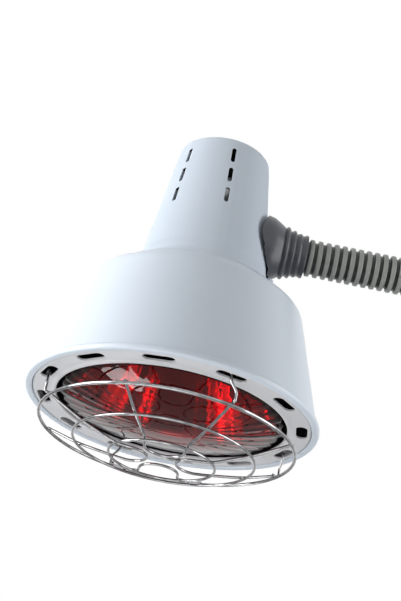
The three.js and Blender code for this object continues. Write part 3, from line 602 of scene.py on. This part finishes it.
# The shade's spun shape, in millimetres: its shoulder is a round's centre in from the rim and down
# from the top, and its radius. Its rim stands a little inside the solid's.
SHEET = 0.9
DOME_HOLE = 20.5
PLATEAU_RADIUS = 45.6
SHOULDER = (24.95, 15.8, 7.7)
SHOULDER_STEPS = 14
WALL_STEPS = 6
RIM_LET = 0.3
RIM_ROUND = 1.2
HEM_STAND = 2.15
CREASE_Z = 3.3

# A face whose normal falls more than this looks down, and faces above this height may take the painted shade
# inside
LOOKS_DOWN = -0.3
PAINTED_SHADE_Z = 6


def bell_outline(depth):
    """The bell from the dome's hole to the hem's crease, at a depth into the sheet."""
    rim, top = sizes().rim_radius / MM, sizes().dome_height / MM
    centre_r, centre_z, radius = rim - SHOULDER[0], top - SHOULDER[1], SHOULDER[2] - depth
    base = rim - HEM_STAND - depth
    start = tangent_angle(centre_r, centre_z, radius, PLATEAU_RADIUS, top - depth, -1)
    end = tangent_angle(centre_r, centre_z, radius, base, CREASE_Z, 1)
    plateau = [(DOME_HOLE, top - depth), (PLATEAU_RADIUS - 1, top - depth)]
    plateau.append((PLATEAU_RADIUS + 0.6, top - depth - 0.12))
    shoulder = arc(centre_r, centre_z, radius, start, end, SHOULDER_STEPS)
    last_r, last_z = shoulder[-1]
    wall = []
    for i in range(1, WALL_STEPS):
        share = i / WALL_STEPS
        wall.append((last_r + (base - last_r) * share, last_z + (CREASE_Z - last_z) * share))
    return plateau + shoulder + wall + [(base, CREASE_Z)]


class HEATLAMP_OT_shade(bpy.types.Operator):
    """Models the spun bell of the shade with its hem and rolled rim"""

    bl_idname = "heatlamp.shade"
    bl_label = "Shade"

    def execute(self, context):
        rim = sizes().rim_radius / MM - RIM_LET
        crease = rim + RIM_LET - HEM_STAND
        hem = [(crease + 0.25, CREASE_Z - 0.12), (crease + 0.8, CREASE_Z - 0.35)]
        hem += [(crease + 1.25, CREASE_Z - 0.7)]
        hem += [(rim - 0.25, CREASE_Z - 1.15), (rim - 0.05, CREASE_Z - 1.7)]
        hem += arc(rim - RIM_ROUND, 0.6, RIM_ROUND, 0, -90, 8)
        seat = ring_edges()[1] + SEAT_GAP
        hem += [(seat + 0.6, -0.55), (seat + 0.15, -0.4), (seat, -0.1), (seat, 3.9)]
        rings = bell_outline(0) + hem + bell_outline(SHEET)[::-1]
        shade = raise_rings("shade", rings + [rings[0]], SHADE_SIDES)
        smooth(shade, 40)
        dress(shade, FINISHES["enamel"])
        # The inside of the shade takes the painted shade
        line_with_painted_shade(shade, FINISHES["inside"], self.faces_in_painted_shade)
        on_body(shade, "head", "white_enamel", "shade_shell")
        return {"FINISHED"}

    def faces_in_painted_shade(self, face):
        out = Vector((face.center.x - LAMP_X, face.center.y, 0))
        height = (face.center.z - FACE_Z) / MM
        turned_in = face.normal.dot(out.normalized()) < -0.02 or face.normal.z < LOOKS_DOWN
        within = out.length < (sizes().rim_radius - 2.2 * MM)
        return height > PAINTED_SHADE_Z and turned_in and within


# The vent ring, in millimetres: its slots as (length, width), and the first one's place in degrees
SLOT_COUNT = 12
SLOT_PHASE = -8.5
SLOT_INSET = 5.1
SLOT_SIZE = (16.5, 6)
SLOT_DEPTH = 8
RING_SHEET = 1
RING_SKIRT = 5
LENS_GAP = 2.1


def ring_edges():
    """The vent ring's inner and outer radius."""
    return sizes().bulb_radius / MM + LENS_GAP, (RING_HIGH.x - RING_LOW.x) / 2 / MM


class HEATLAMP_OT_vent_ring(bpy.types.Operator):
    """Models the slotted ring that closes the shade round the bulb"""

    bl_idname = "heatlamp.vent_ring"
    bl_label = "Vent ring"

    def execute(self, context):
        inner, outer = ring_edges()
        rings = [
            *arc(inner + 0.9, 0.1, 0.9, 180, 250, 5),
            (inner + 1.9, -0.45),
            (inner + 2.7, -0.1),
            (inner + 3.3, 0),
            (outer - 0.8, 0),
            *arc(outer - 0.8, 0.8, 0.8, -80, 0, 5),
            (outer, RING_SKIRT),
            (outer - RING_SHEET, RING_SKIRT),
            (outer - RING_SHEET, RING_SHEET),
            (inner + 1.2, RING_SHEET),
            (inner, RING_SHEET * 0.9),
        ]
        ring = raise_rings("vent_ring_sheet", rings + [rings[0]], SHADE_SIDES)
        tools = []
        for i in range(SLOT_COUNT):
            degrees = SLOT_PHASE + 360 * i / SLOT_COUNT
            place = lamp_place(*polar(outer - SLOT_INSET, degrees, 0))
            tools.append(slot_tool(place, *SLOT_SIZE, SLOT_DEPTH, math.radians(degrees)))
        take_away(ring, join("slot_tools", tools))
        smooth(ring, 40)
        dress(ring, FINISHES["ring"])
        on_body(ring, "head", "ring_enamel", "vent_ring")
        return {"FINISHED"}


# The guard's rings as (radius, height), from the frame ring inwards
GUARD_RINGS = ((68.37, -13.65), (48.5, -21.3), (28.24, -26.45))
RING_STEPS = 144

# The bent wires: where the first lies, how far its spokes spread, its loop as (distance out, radius,
# height), the round of its corners, and how deep it is welded into the rings that it crosses
WIRE_COUNT = 4
BENT_PHASE = -88
SPOKE_SPREAD = 22.5
LOOP = (18.3, 10.5, -27.3)
LOOP_STEPS = 24
BENT_ROUND = 6
WELD = 0.25

# The hooks: how far they stand out from the frame ring, their twist and their reach in degrees
HOOK_STAND = 2.4
HOOK_TWIST = 3
HOOK_REACH = 10
HOOK_ROUND = 1.6


class HEATLAMP_OT_guard(bpy.types.Operator):
    """Bends the wires of the guard: three rings, four bent wires and four hooks"""

    bl_idname = "heatlamp.guard"
    bl_label = "Wire guard"

    def execute(self, context):
        thick, thin = sizes().frame_wire / MM, sizes().fine_wire / MM
        wires = []
        for index, (radius, z) in enumerate(GUARD_RINGS):
            wire = thin if index else thick
            points = [polar(radius, 360 * i / RING_STEPS, z) for i in range(RING_STEPS + 1)]
            wires.append(bend_wire("guard_ring", points, wire, closed=True))
        for i in range(WIRE_COUNT):
            middle = BENT_PHASE + 360 / WIRE_COUNT * i
            wires.append(self.bent_wire(middle, thick, thin))
            wires.append(self.hook(middle + SPOKE_SPREAD, thin))
        guard = join("guard_wires", wires)
        dress(guard, FINISHES["chrome"])
        on_body(guard, "head", "chrome_wire", "guard_frame", "guard_ring", "wire_guard")
        return {"FINISHED"}

    def bent_wire(self, middle, thick, thin):
        lay = 2 * thin - WELD
        (r1, z1), (r2, z2), (r3, z3) = GUARD_RINGS
        loop_r, loop_radius, loop_z = LOOP
        spoke = [
            polar(r1 + thick * 0.4, SPOKE_SPREAD, z1 + thick + thin - WELD),
            polar(r2, SPOKE_SPREAD, z2 + lay),
            polar(r3, SPOKE_SPREAD, z3 + lay),
        ]
        loop = [(x, y, loop_z + lay) for x, y in arc(loop_r, 0, loop_radius, 90, 270, LOOP_STEPS)]
        back = [(x, -y, z) for x, y, z in reversed(spoke)]
        path = rounded(spoke + [(loop_r + 1, loop_radius, loop_z + lay)], BENT_ROUND)[:-1] + loop
        path += rounded([(loop_r + 1, -loop_radius, loop_z + lay)] + back, BENT_ROUND)[1:]
        turn = Matrix.Rotation(math.radians(middle), 3, "Z")
        return bend_wire("bent_wire", [tuple(turn @ Vector(p)) for p in path], thin)

    def hook(self, degrees, thin):
        """A leg that stands on the frame ring, goes up through a slot and lies over the vent ring."""
        outer = ring_edges()[1] - SLOT_INSET
        r, z = GUARD_RINGS[0]
        foot = degrees - HOOK_TWIST
        over = RING_SHEET + SEAT_GAP + thin
        path = rounded(
            [
                polar(r - 1.5, degrees, z + 1.6),
                polar(r + HOOK_STAND, degrees, z + 1.2),
                polar(r + HOOK_STAND, degrees, z + 6.5),
                polar(outer, foot, -2.2),
                polar(outer, foot, over),
                polar(outer, foot - HOOK_REACH, over),
            ],
            HOOK_ROUND,
        )
        return bend_wire("hook", path, thin)


# The neck's shape, in millimetres. It is set over towards the arm, and its many sides keep its
# shading even
NECK_SIDES = 360
NECK_RINGS = 32
NECK_WALL = 1.2
NECK_BASE = 37.2
NECK_TAPER = 10.7
NECK_SET = 1.4
NECK_ROUND = 1.3
NECK_CROWN = 0.8
FLARE = 8

# Rows of vents by their angle round the neck, and each vent's (length, width)
VENT_ROWS = (-138, -81, 81, 138)
VENTS_IN_ROW = 3
VENT = (10, 2.5)
VENT_DEPTH = 10
VENT_TOP_INSET = 11.5
VENT_PITCH = 14.5

# Stands a tool upright, with its depth along X
UPRIGHT = Matrix(((0, 0, 1, 0), (1, 0, 0, 0), (0, 1, 0, 0), (0, 0, 0, 1)))

# The boss that the arm's swivel goes through: its face from the lamp's axis, depth, radius and bore
BOSS_FACE = 36.3
BOSS_DEPTH = 6
BOSS_RADIUS = 9
BOSS_BORE = 5.3


def neck_at(z):
    """The neck's radius at a height."""
    base, top = sizes().dome_height / MM, sizes().neck_top / MM - NECK_CROWN
    return NECK_BASE - NECK_TAPER * (z - base) / (top - base)


class HEATLAMP_OT_neck(bpy.types.Operator):
    """Models the vented neck on the shade, with its boss and rivets"""

    bl_idname = "heatlamp.neck"
    bl_label = "Neck"

    def execute(self, context):
        neck = raise_rings("neck", [(r, z, NECK_SET) for r, z in self.outline()], NECK_SIDES)
        take_away(neck, join("vent_tools", self.vents()))
        smooth(neck, 38)
        dress(neck, FINISHES["enamel"])
        # The inside of the neck takes the painted shade, so that its vents look dark
        line_with_painted_shade(neck, FINISHES["inside"], self.faces_in_painted_shade)
        on_body(neck, "head", "white_enamel", "neck_housing")
        self.boss()
        self.rivets()
        return {"FINISHED"}

    def outline(self):
        """The neck from its crown down the outside, and up the inside."""
        base, top = sizes().dome_height / MM, sizes().neck_top / MM - NECK_CROWN
        crown = neck_at(top) - NECK_ROUND
        fillet_r, fillet_z = NECK_BASE + FLARE, base + 1.5 + FLARE
        outer = [(0, top + NECK_CROWN), (crown * 0.5, top + NECK_CROWN * 0.95)]
        outer += [(crown * 0.9, top + NECK_CROWN * 0.8)]
        outer += arc(crown, top + NECK_CROWN * 0.75 - NECK_ROUND, NECK_ROUND, 86, 0, 10)
        for i in range(1, NECK_RINGS + 1):
            z = top - NECK_ROUND + (fillet_z + 4 - top + NECK_ROUND) * i / NECK_RINGS
            outer.append((neck_at(z), z))
        outer += arc(fillet_r, fillet_z, FLARE, 176, 264, 12)
        skirt = [(fillet_r - 0.4, base + 1.2), (fillet_r - 0.2, base + 0.35), (fillet_r - 0.9, base + 0.32)]
        inner = [(NECK_BASE - NECK_WALL, base + 0.32), (neck_at(base + 10) - NECK_WALL, base + 10)]
        inner += [(crown + NECK_ROUND - NECK_WALL, top - NECK_ROUND), (crown, top - NECK_WALL)]
        inner += [(0, top - NECK_WALL)]
        return outer + skirt + inner

    def vents(self):
        """The tools that cut the vents, row by row from the top."""
        top = sizes().neck_top / MM - NECK_CROWN
        tools = []
        for row in VENT_ROWS:
            for i in range(VENTS_IN_ROW):
                z = top - VENT_TOP_INSET - VENT_PITCH * i
                x, y, z = polar(neck_at(z), row, z)
                tool = slot_tool(Vector((0, 0, 0)), *VENT, VENT_DEPTH, 0)
                place = Matrix.Translation(lamp_place(NECK_SET + x, y, z))
                tool.data.transform(place @ Matrix.Rotation(math.radians(row), 4, "Z") @ UPRIGHT)
                tools.append(tool)
        return tools

    def faces_in_painted_shade(self, face):
        height = (face.center.z - FACE_Z) / MM
        out = Vector((face.center.x - LAMP_X - NECK_SET * MM, face.center.y, 0))
        within = out.length < (neck_at(height) - 0.35) * MM
        return within and (face.normal.dot(out.normalized()) < 0 or face.normal.z < LOOKS_DOWN)

    def boss(self):
        back = BOSS_FACE - BOSS_DEPTH
        rings = [(BOSS_BORE, back), (BOSS_RADIUS, back), (BOSS_RADIUS, BOSS_FACE - 0.5)]
        rings += [(BOSS_RADIUS - 0.4, BOSS_FACE - 0.05), (BOSS_BORE, BOSS_FACE - 0.05), (BOSS_BORE, back)]
        boss = raise_rings("neck_boss", rings, WASHER_SIDES, "X")
        smooth(boss)
        dress(boss, FINISHES["enamel"])
        on_body(boss, "head", "white_enamel")

    def rivets(self):
        for i in range(3):
            low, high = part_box("neck_rivet_%d" % (i + 1))
            x, y = ((low.x + high.x) / 2 - LAMP_X) / MM, (low.y + high.y) / 2 / MM
            top, bottom = (high.z - FACE_Z) / MM, (low.z - FACE_Z) / MM
            head = [(0, top), (1.0, top - 0.12), (1.8, top - 0.45), (2.3, top - 0.85), (2.35, top - 1.0)]
            shank = [(1.5, top - 1.05), (1.5, bottom + 1.05), (2.4, bottom + 1)]
            shank += [(2.2, bottom + 0.2), (0, bottom)]
            rivet = raise_rings("rivet_%d" % (i + 1), head + shank, RIVET_SIDES)
            rivet.data.transform(Matrix.Translation(Vector((x * MM, y * MM, 0))))
            smooth(rivet)
            dress(rivet, FINISHES["enamel"])
            on_body(rivet, "head", "white_enamel", "neck_rivet_%d" % (i + 1))


# The bulb's front, in millimetres: its edge and face as heights, how far its middle hangs, its glass,
# and the rings of its outer and inner side
LENS_EDGE_Z = 4
LENS_FACE_Z = 1
LENS_SAG = 10
GLASS = 3
LENS_RINGS = 40
LENS_BACK_RINGS = 30

# The bulb's silvered back: its apex as a height, its stub as (radius, length), its glass and its rings
APEX_Z = 82
STUB = (11.4, 12)
MIRROR_SHEET = 2.6
MIRROR_BACK_RINGS = 24
MIRROR_RINGS = 80

# The screw cap: its thread as (root radius, crest radius, start, pitch, turns), and its top
THREAD = (12.2, 13.1, 97.1, 3.63, 5)
THREAD_STEPS = 8
CAP_TOP = 125.5
BULB_SIDES = 144

# Solids of the bulb that only get a finish
BULB_PLAIN = {
    "bulb_filament": "tungsten",
    "bulb_cap_insulator": "black_glass",
    "bulb_tip_contact": "zinc",
}


class HEATLAMP_OT_bulb(bpy.types.Operator):
    """Models the reflector bulb's ruby front, silvered back and screw cap, and finishes its filament,
    insulator and tip contact
    """

    bl_idname = "heatlamp.bulb"
    bl_label = "Bulb"

    def execute(self, context):
        self.lens()
        self.reflector()
        self.cap()
        for node, name in BULB_PLAIN.items():
            dress(frame["nodes"][node], FINISHES[name])
        return {"FINISHED"}

    def lens(self):
        radius = sizes().bulb_radius / MM
        outer = []
        for i in range(LENS_RINGS):
            share = i / LENS_RINGS
            z = LENS_FACE_Z - 0.2 - (LENS_SAG - 0.2) * (1 - share**2)
            outer.append(((radius - 1.0) * share, z))
        outer += arc(radius - 1.6, LENS_FACE_Z + 1.3, 1.6, -72, 0, 6)
        wall = [(radius, LENS_EDGE_Z + 4), (radius - GLASS, LENS_EDGE_Z + 4)]
        inner = []
        for i in range(LENS_BACK_RINGS + 1):
            share = 1 - i / LENS_BACK_RINGS
            inner.append(((radius - GLASS) * share, LENS_FACE_Z + 2.6 - LENS_SAG * (1 - share**2)))
        lens = raise_rings("ruby_front", outer + wall + inner, BULB_SIDES)
        smooth(lens, 50)
        dress(lens, FINISHES["ruby"])
        # Black glass on the glass's edge is painted shade, so that the ring's slots look dark
        line_with_painted_shade(lens, FINISHES["black_glass"], self.faces_edge_painted_shade)
        on_body(lens, "bulb", "ruby_glass", "bulb_lens")

    def faces_edge_painted_shade(self, face):
        """True at the seam on the glass's edge, above its face, which takes black glass as painted shade."""
        return face.center.z > FACE_Z + (LENS_FACE_Z + 1.9) * MM

    def reflector(self):
        radius = sizes().bulb_radius / MM
        front = radius - 2.4
        start = LENS_EDGE_Z + 4.3
        back = start + 3
        outer = [(0, APEX_Z + STUB[1]), (STUB[0], APEX_Z + STUB[1])]
        for i in range(MIRROR_BACK_RINGS + 1):
            r = STUB[0] + (front - STUB[0]) * i / MIRROR_BACK_RINGS
            outer.append((r, APEX_Z - (APEX_Z - back) * (r / front) ** 2))
        rim = [(radius - 0.6, back - 0.8), (radius, back - 1.4), (radius, start), (radius - GLASS, start)]
        mouth, apex = front - MIRROR_SHEET, APEX_Z - MIRROR_SHEET
        inner = []
        for i in range(MIRROR_RINGS + 1):
            r = mouth * (1 - i / MIRROR_RINGS)
            inner.append((r, apex - (apex - back) * (r / mouth) ** 2))
        reflector = raise_rings("silvered_back", outer + rim + inner, BULB_SIDES)
        smooth(reflector, 50)
        dress(reflector, FINISHES["mirror"])
        on_body(reflector, "bulb", "mirror_glass", "bulb_reflector")

    def cap(self):
        root, crest, start, pitch, turns = THREAD
        skirt = APEX_Z + 0.6
        outer = [(16.5, skirt), (16.7, skirt + 0.6), (16.2, skirt + 2), (12.6, start - 1.2), (root, start)]
        for i in range(turns * THREAD_STEPS + 1):
            wave = (1 - math.cos(2 * math.pi * i / THREAD_STEPS)) / 2
            outer.append((root + (crest - root) * wave, start + pitch * i / THREAD_STEPS))
        top = start + pitch * turns
        outer += [(root - 0.6, top + 1), (9.4, CAP_TOP - 4.2), (9.1, CAP_TOP - 4), (8.6, CAP_TOP - 4)]
        inner = [(root - 0.6, top - 0.5), (root - 0.6, start), (12.1, skirt + 0.5)]
        inner += [(12.1, skirt), (16.5, skirt)]
        cap = raise_rings("screw_cap", outer + inner, SLEEVE_SIDES)
        smooth(cap, 45)
        dress(cap, FINISHES["brass"])
        on_body(cap, "bulb", "brass", "bulb_cap")


# The boot's stand off the neck below and above the arm, how far the cut reaches each way, and its ribs
# as (crest's place, crest's radius, groove's place, groove's radius)
BOOT_STAND = (0.4, 4.4)
SADDLE_REACH = 40
BOOT_RIBS = (
    (45.0, 15.3, 44.0, 14.4),
    (49.0, 13.9, 47.5, 13.1),
    (52.5, 12.8, 51.0, 12.2),
    (56.4, 12.5, 54.6, 11.8),
)


class HEATLAMP_OT_boot(bpy.types.Operator):
    """Models the rubber boot that hugs the neck and closes on the sleeve"""

    bl_idname = "heatlamp.boot"
    bl_label = "Boot"

    def execute(self, context):
        mouth = sizes().boot_radius / MM
        outer = [(mouth + 2.4, 28), (mouth + 0.55, 34), (mouth, 36.4)]
        outer += [(17.2, 39.5), (15.75, 41.8), (14.85, 43.2)]
        for crest_x, crest_r, groove_x, groove_r in BOOT_RIBS:
            outer += [(groove_r, groove_x - 0.35), (groove_r, groove_x), (crest_r - 0.3, crest_x - 0.75)]
            outer += [(crest_r, crest_x - 0.25), (crest_r, crest_x + 0.45), (crest_r - 0.35, crest_x + 0.95)]
        outer += [(11.3, 57.5), (7.6, 57.5)]
        inner = [(7.6, 44.5), (13.2, 43.2), (mouth - 1.1, 36.4), (mouth + 1.3, 28), (mouth + 2.4, 28)]
        boot = raise_rings("rubber_boot", outer + inner, BOOT_SIDES, "X")
        low, high = ARM_HEIGHT - SADDLE_REACH, ARM_HEIGHT + SADDLE_REACH
        rings = [(0, low), (neck_at(low) + BOOT_STAND[0], low)]
        rings += [(neck_at(high) + BOOT_STAND[1], high), (0, high)]
        take_away(boot, raise_rings("saddle", [(r, z, NECK_SET) for r, z in rings], SHADE_SIDES))
        smooth(boot, 42)
        dress(boot, FINISHES["rubber"])
        # The boot's inside takes the painted shade, so that the gap at its mouth looks dark
        line_with_painted_shade(boot, FINISHES["inside"], self.faces_in_painted_shade)
        on_body(boot, "head", "boot_rubber", "boot")
        return {"FINISHED"}

    def faces_in_painted_shade(self, face):
        out = Vector((0, face.center.y, face.center.z)).normalized()
        return out.dot(face.normal) < -0.75


# The sleeve: ribs on each length, and a rib's shape as shares of its pitch and of its height
RIBS_IN_LENGTH = 5
RIB_SHAPE = (
    (0, 0),
    (0.17, 0),
    (0.215, 0.55),
    (0.27, 0.9),
    (0.36, 1),
    (0.64, 1),
    (0.73, 0.9),
    (0.785, 0.55),
    (0.83, 0),
)
SLEEVE_WALL = 1.4

# Where one length meets the next: half the gap between them, and the ball nose that turns in a socket,
# each as (radius, depth)
SLEEVE_GAP = 0.75
NOSE = (8.6, 2.6)
NOSE_STEPS = 8
SOCKET = (8.75, 4.4)


def rib_profile(low):
    """Outline of a length of sleeve from a groove at its lamp end, rib by rib."""
    crest, groove, pitch = sizes().crest_radius / MM, sizes().groove_radius / MM, sizes().rib_pitch / MM
    points = []
    for i in range(RIBS_IN_LENGTH):
        start = low + pitch * i
        for along, rise in RIB_SHAPE:
            points.append((groove + (crest - groove) * rise, start + pitch * along))
    return points


def mark_rib_shade(piece):
    """Keeps each point's height between groove and crest, for the painted shade in the grooves."""
    crest, groove = sizes().crest_radius, sizes().groove_radius
    marks = piece.data.attributes.new("rib_height_for_painted_shade", "FLOAT", "POINT")
    for mark, point in zip(marks.data, piece.data.vertices):
        radius = math.hypot(point.co.y, point.co.z)
        mark.value = min(max((radius - groove) / (crest - groove), 0), 1)


def sleeve_piece(name, low, high, socket=True, nose=True):
    """A length of sleeve between two joints, with a socket at its lamp end and a ball nose at the other."""
    groove = sizes().groove_radius / MM
    bore = groove - SLEEVE_WALL
    outer = rib_profile(low)
    outer[0] = (groove, low + (SLEEVE_GAP if socket else 0))
    inner = [(bore, low), outer[0]]
    if socket:
        radius, depth = SOCKET
        inner = [(bore, low + depth + 0.6), (radius, low + depth), (radius, low + SLEEVE_GAP), outer[0]]
    if nose:
        outer.append((groove, high - SLEEVE_GAP))
        for i in range(NOSE_STEPS + 1):
            past = -SLEEVE_GAP + (NOSE[1] + SLEEVE_GAP) * i / NOSE_STEPS
            outer.append((math.sqrt(NOSE[0] ** 2 - past**2), high + past))
        outer.append((bore, high + NOSE[1]))
    else:
        outer += [(groove, high), (bore, high)]
    piece = raise_rings(name, outer + inner, SLEEVE_SIDES, "X")
    smooth(piece, 50)
    mark_rib_shade(piece)
    dress(piece, FINISHES["sleeve"])
    return piece


class HEATLAMP_OT_sleeve(bpy.types.Operator):
    """Models the ribbed sleeve in lengths that each ride on one link of the arm"""

    bl_idname = "heatlamp.sleeve"
    bl_label = "Sleeve"

    def execute(self, context):
        start = (SLEEVE_LOW.x - LAMP_X) / MM - 0.2
        link = JOINT_X[0] - JOINT_X[1]
        end = min(JOINT_X[0], (FERRULE_LOW.x - LAMP_X) / MM) - SLEEVE_GAP
        first = sleeve_piece("sleeve_length_11", JOINT_X[11], JOINT_X[10])
        lengths = {
            12: sleeve_piece("sleeve_length_12", start, JOINT_X[11], socket=False),
            11: first,
            1: sleeve_piece("sleeve_length_01", JOINT_X[1], end, nose=False),
        }
        for number in range(10, 1, -1):
            choose(first)
            bpy.ops.object.duplicate(linked=False)
            copy = bpy.context.active_object
            copy.name = "sleeve_length_%02d" % number
            copy.data.transform(Matrix.Translation(((11 - number) * link * MM, 0, 0)))
            lengths[number] = copy
        for number, piece in lengths.items():
            on_body(piece, BODIES[number], "sleeve_plastic", "sleeve_%02d" % number)
        return {"FINISHED"}


# The arm's end, in millimetres: radii of the ferrule's bore, of what clears the nipple and of the
# washer's bore, the rings of the nipple's thread, and the nut's width across its flats
FERRULE_BORE = 7.6
CLEAR_RADIUS = 5.35
WASHER_BORE = 5.3
THREAD_LINES = 26
NUT_FLATS = 17


class HEATLAMP_OT_end_fitting(bpy.types.Operator):
    """Models the arm's end: ferrule, threaded nipple, washer and nut, and finishes its bush"""

    bl_idname = "heatlamp.end_fitting"
    bl_label = "End fitting"

    def execute(self, context):
        self.ferrule()
        self.nipple()
        self.washer()
        self.nut()
        dress(frame["nodes"]["cord_bush"], FINISHES["black_plastic"])
        return {"FINISHED"}

    def ferrule(self):
        low, high = (FERRULE_LOW.x - LAMP_X) / MM, (FERRULE_HIGH.x - LAMP_X) / MM
        radius = (FERRULE_HIGH.z - FERRULE_LOW.z) / 2 / MM
        outer = [(FERRULE_BORE, low), (radius - 1.3, low), *arc(radius - 1.3, low + 1.3, 1.3, -75, 0, 5)]
        for i in range(3):
            x = high - 7 + 2 * i
            outer += [(radius, x - 0.35), (radius - 0.5, x), (radius, x + 0.35)]
        outer += [(radius, high - 0.5), (radius - 0.5, high), (CLEAR_RADIUS, high)]
        outer += [(CLEAR_RADIUS, high - 2.5), (FERRULE_BORE, high - 2.5), (FERRULE_BORE, low)]
        ferrule = raise_rings("ferrule", outer, FERRULE_SIDES, "X")
        smooth(ferrule, 40)
        dress(ferrule, FINISHES["rubber"])
        on_body(ferrule, "arm_end", "boot_rubber", "end_ferrule")

    def nipple(self):
        low, high = ((corner.x - LAMP_X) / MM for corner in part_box("end_nipple"))
        face = (FERRULE_HIGH.x - LAMP_X) / MM
        outer = [(3.4, low), (4.8, low)]
        for i in range(THREAD_LINES):
            x = face + 0.4 + (high - face - 1.2) * i / THREAD_LINES
            outer.append((5.0 if i % 2 else 4.62, x))
        outer += [(4.6, high), (3.4, high), (3.4, low)]
        nipple = raise_rings("threaded_nipple", outer, BOLT_SIDES, "X")
        smooth(nipple, 25)
        dress(nipple, FINISHES["zinc"])
        on_body(nipple, "arm_end", "zinc_steel", "end_nipple")

    def washer(self):
        low, high = ((corner.x - LAMP_X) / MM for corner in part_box("end_washer"))
        rings = [(WASHER_BORE, low), (9.2, low), (9.5, low + 0.3), (9.5, high - 0.3), (9.2, high)]
        rings += [(WASHER_BORE, high), (WASHER_BORE, low)]
        washer = raise_rings("clamp_washer", rings, WASHER_SIDES, "X")
        smooth(washer, 30)
        dress(washer, FINISHES["zinc"])
        on_body(washer, "arm_end", "zinc_steel", "end_washer")

    def nut(self):
        low, high = ((corner.x - LAMP_X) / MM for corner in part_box("end_nut"))
        corner = NUT_FLATS / math.sqrt(3)
        rings = [(CLEAR_RADIUS, low), (corner, low), (corner, high), (CLEAR_RADIUS, high)]
        rings.append((CLEAR_RADIUS, low))
        nut = raise_rings("clamp_nut", rings, 6, "X")
        modify(nut, "BEVEL", width=0.0005, segments=2, angle_limit=math.radians(50))
        hole = [(0, low - 1), (CLEAR_RADIUS, low - 1), (CLEAR_RADIUS, high + 1), (0, high + 1)]
        take_away(nut, raise_rings("nut_bore", hole, BOLT_SIDES, "X"))
        smooth(nut, 30)
        dress(nut, FINISHES["zinc"])
        on_body(nut, "arm_end", "zinc_steel", "end_nut")


# Solids that only get a finish: by name, and by how their names start
PLAIN = {
    "holder_body": "porcelain",
    "holder_shell": "brass",
    "holder_contact": "brass",
    "lead_live": "brown",
    "lead_neutral": "blue",
    "lead_earth": "green",
}
STEEL = ("holder_bracket", "holder_screw", "bracket_screw", "swivel_", "core_link_", "end_core")


class HEATLAMP_OT_fittings(bpy.types.Operator):
    """Gives the lampholder, bracket, leads, swivel and arm core their finishes"""

    bl_idname = "heatlamp.fittings"
    bl_label = "Fittings"

    def execute(self, context):
        for node, piece in frame["nodes"].items():
            if node in PLAIN or node.startswith(STEEL):
                dress(piece, FINISHES[PLAIN.get(node, "zinc")])
        return {"FINISHED"}


PIECES = (
    HEATLAMP_OT_finishes,
    HEATLAMP_OT_stage,
    HEATLAMP_OT_shade,
    HEATLAMP_OT_vent_ring,
    HEATLAMP_OT_guard,
    HEATLAMP_OT_neck,
    HEATLAMP_OT_bulb,
    HEATLAMP_OT_boot,
    HEATLAMP_OT_sleeve,
    HEATLAMP_OT_end_fitting,
    HEATLAMP_OT_fittings,
)


class HEATLAMP_PT_panel(bpy.types.Panel):
    """Lists the lamp's pieces, sizes and colours"""

    bl_idname = "HEATLAMP_PT_panel"
    bl_label = "Heat lamp"
    bl_space_type = "VIEW_3D"
    bl_region_type = "UI"
    bl_category = "Heat lamp"

    def draw(self, context):
        column = self.layout.column()
        for group in (context.scene.heat_lamp_sizes, context.scene.heat_lamp_colours):
            for name in group.__annotations__:
                column.prop(group, name)
        for piece in PIECES:
            column.operator(piece.bl_idname)


CLASSES = (HeatLampSizes, HeatLampColours, *PIECES, HEATLAMP_PT_panel)


def register():
    for kind in CLASSES:
        bpy.utils.register_class(kind)
    bpy.types.Scene.heat_lamp_sizes = bpy.props.PointerProperty(type=HeatLampSizes)
    bpy.types.Scene.heat_lamp_colours = bpy.props.PointerProperty(type=HeatLampColours)


def unregister():
    del bpy.types.Scene.heat_lamp_colours
    del bpy.types.Scene.heat_lamp_sizes
    for kind in reversed(CLASSES):
        bpy.utils.unregister_class(kind)


def main():
    register()
    bpy.ops.heatlamp.finishes()
    bpy.ops.heatlamp.stage()
    bpy.ops.heatlamp.shade()
    bpy.ops.heatlamp.vent_ring()
    bpy.ops.heatlamp.guard()
    bpy.ops.heatlamp.neck()
    bpy.ops.heatlamp.bulb()
    bpy.ops.heatlamp.boot()
    bpy.ops.heatlamp.sleeve()
    bpy.ops.heatlamp.end_fitting()
    bpy.ops.heatlamp.fittings()


if __name__ == "__main__":
    main()
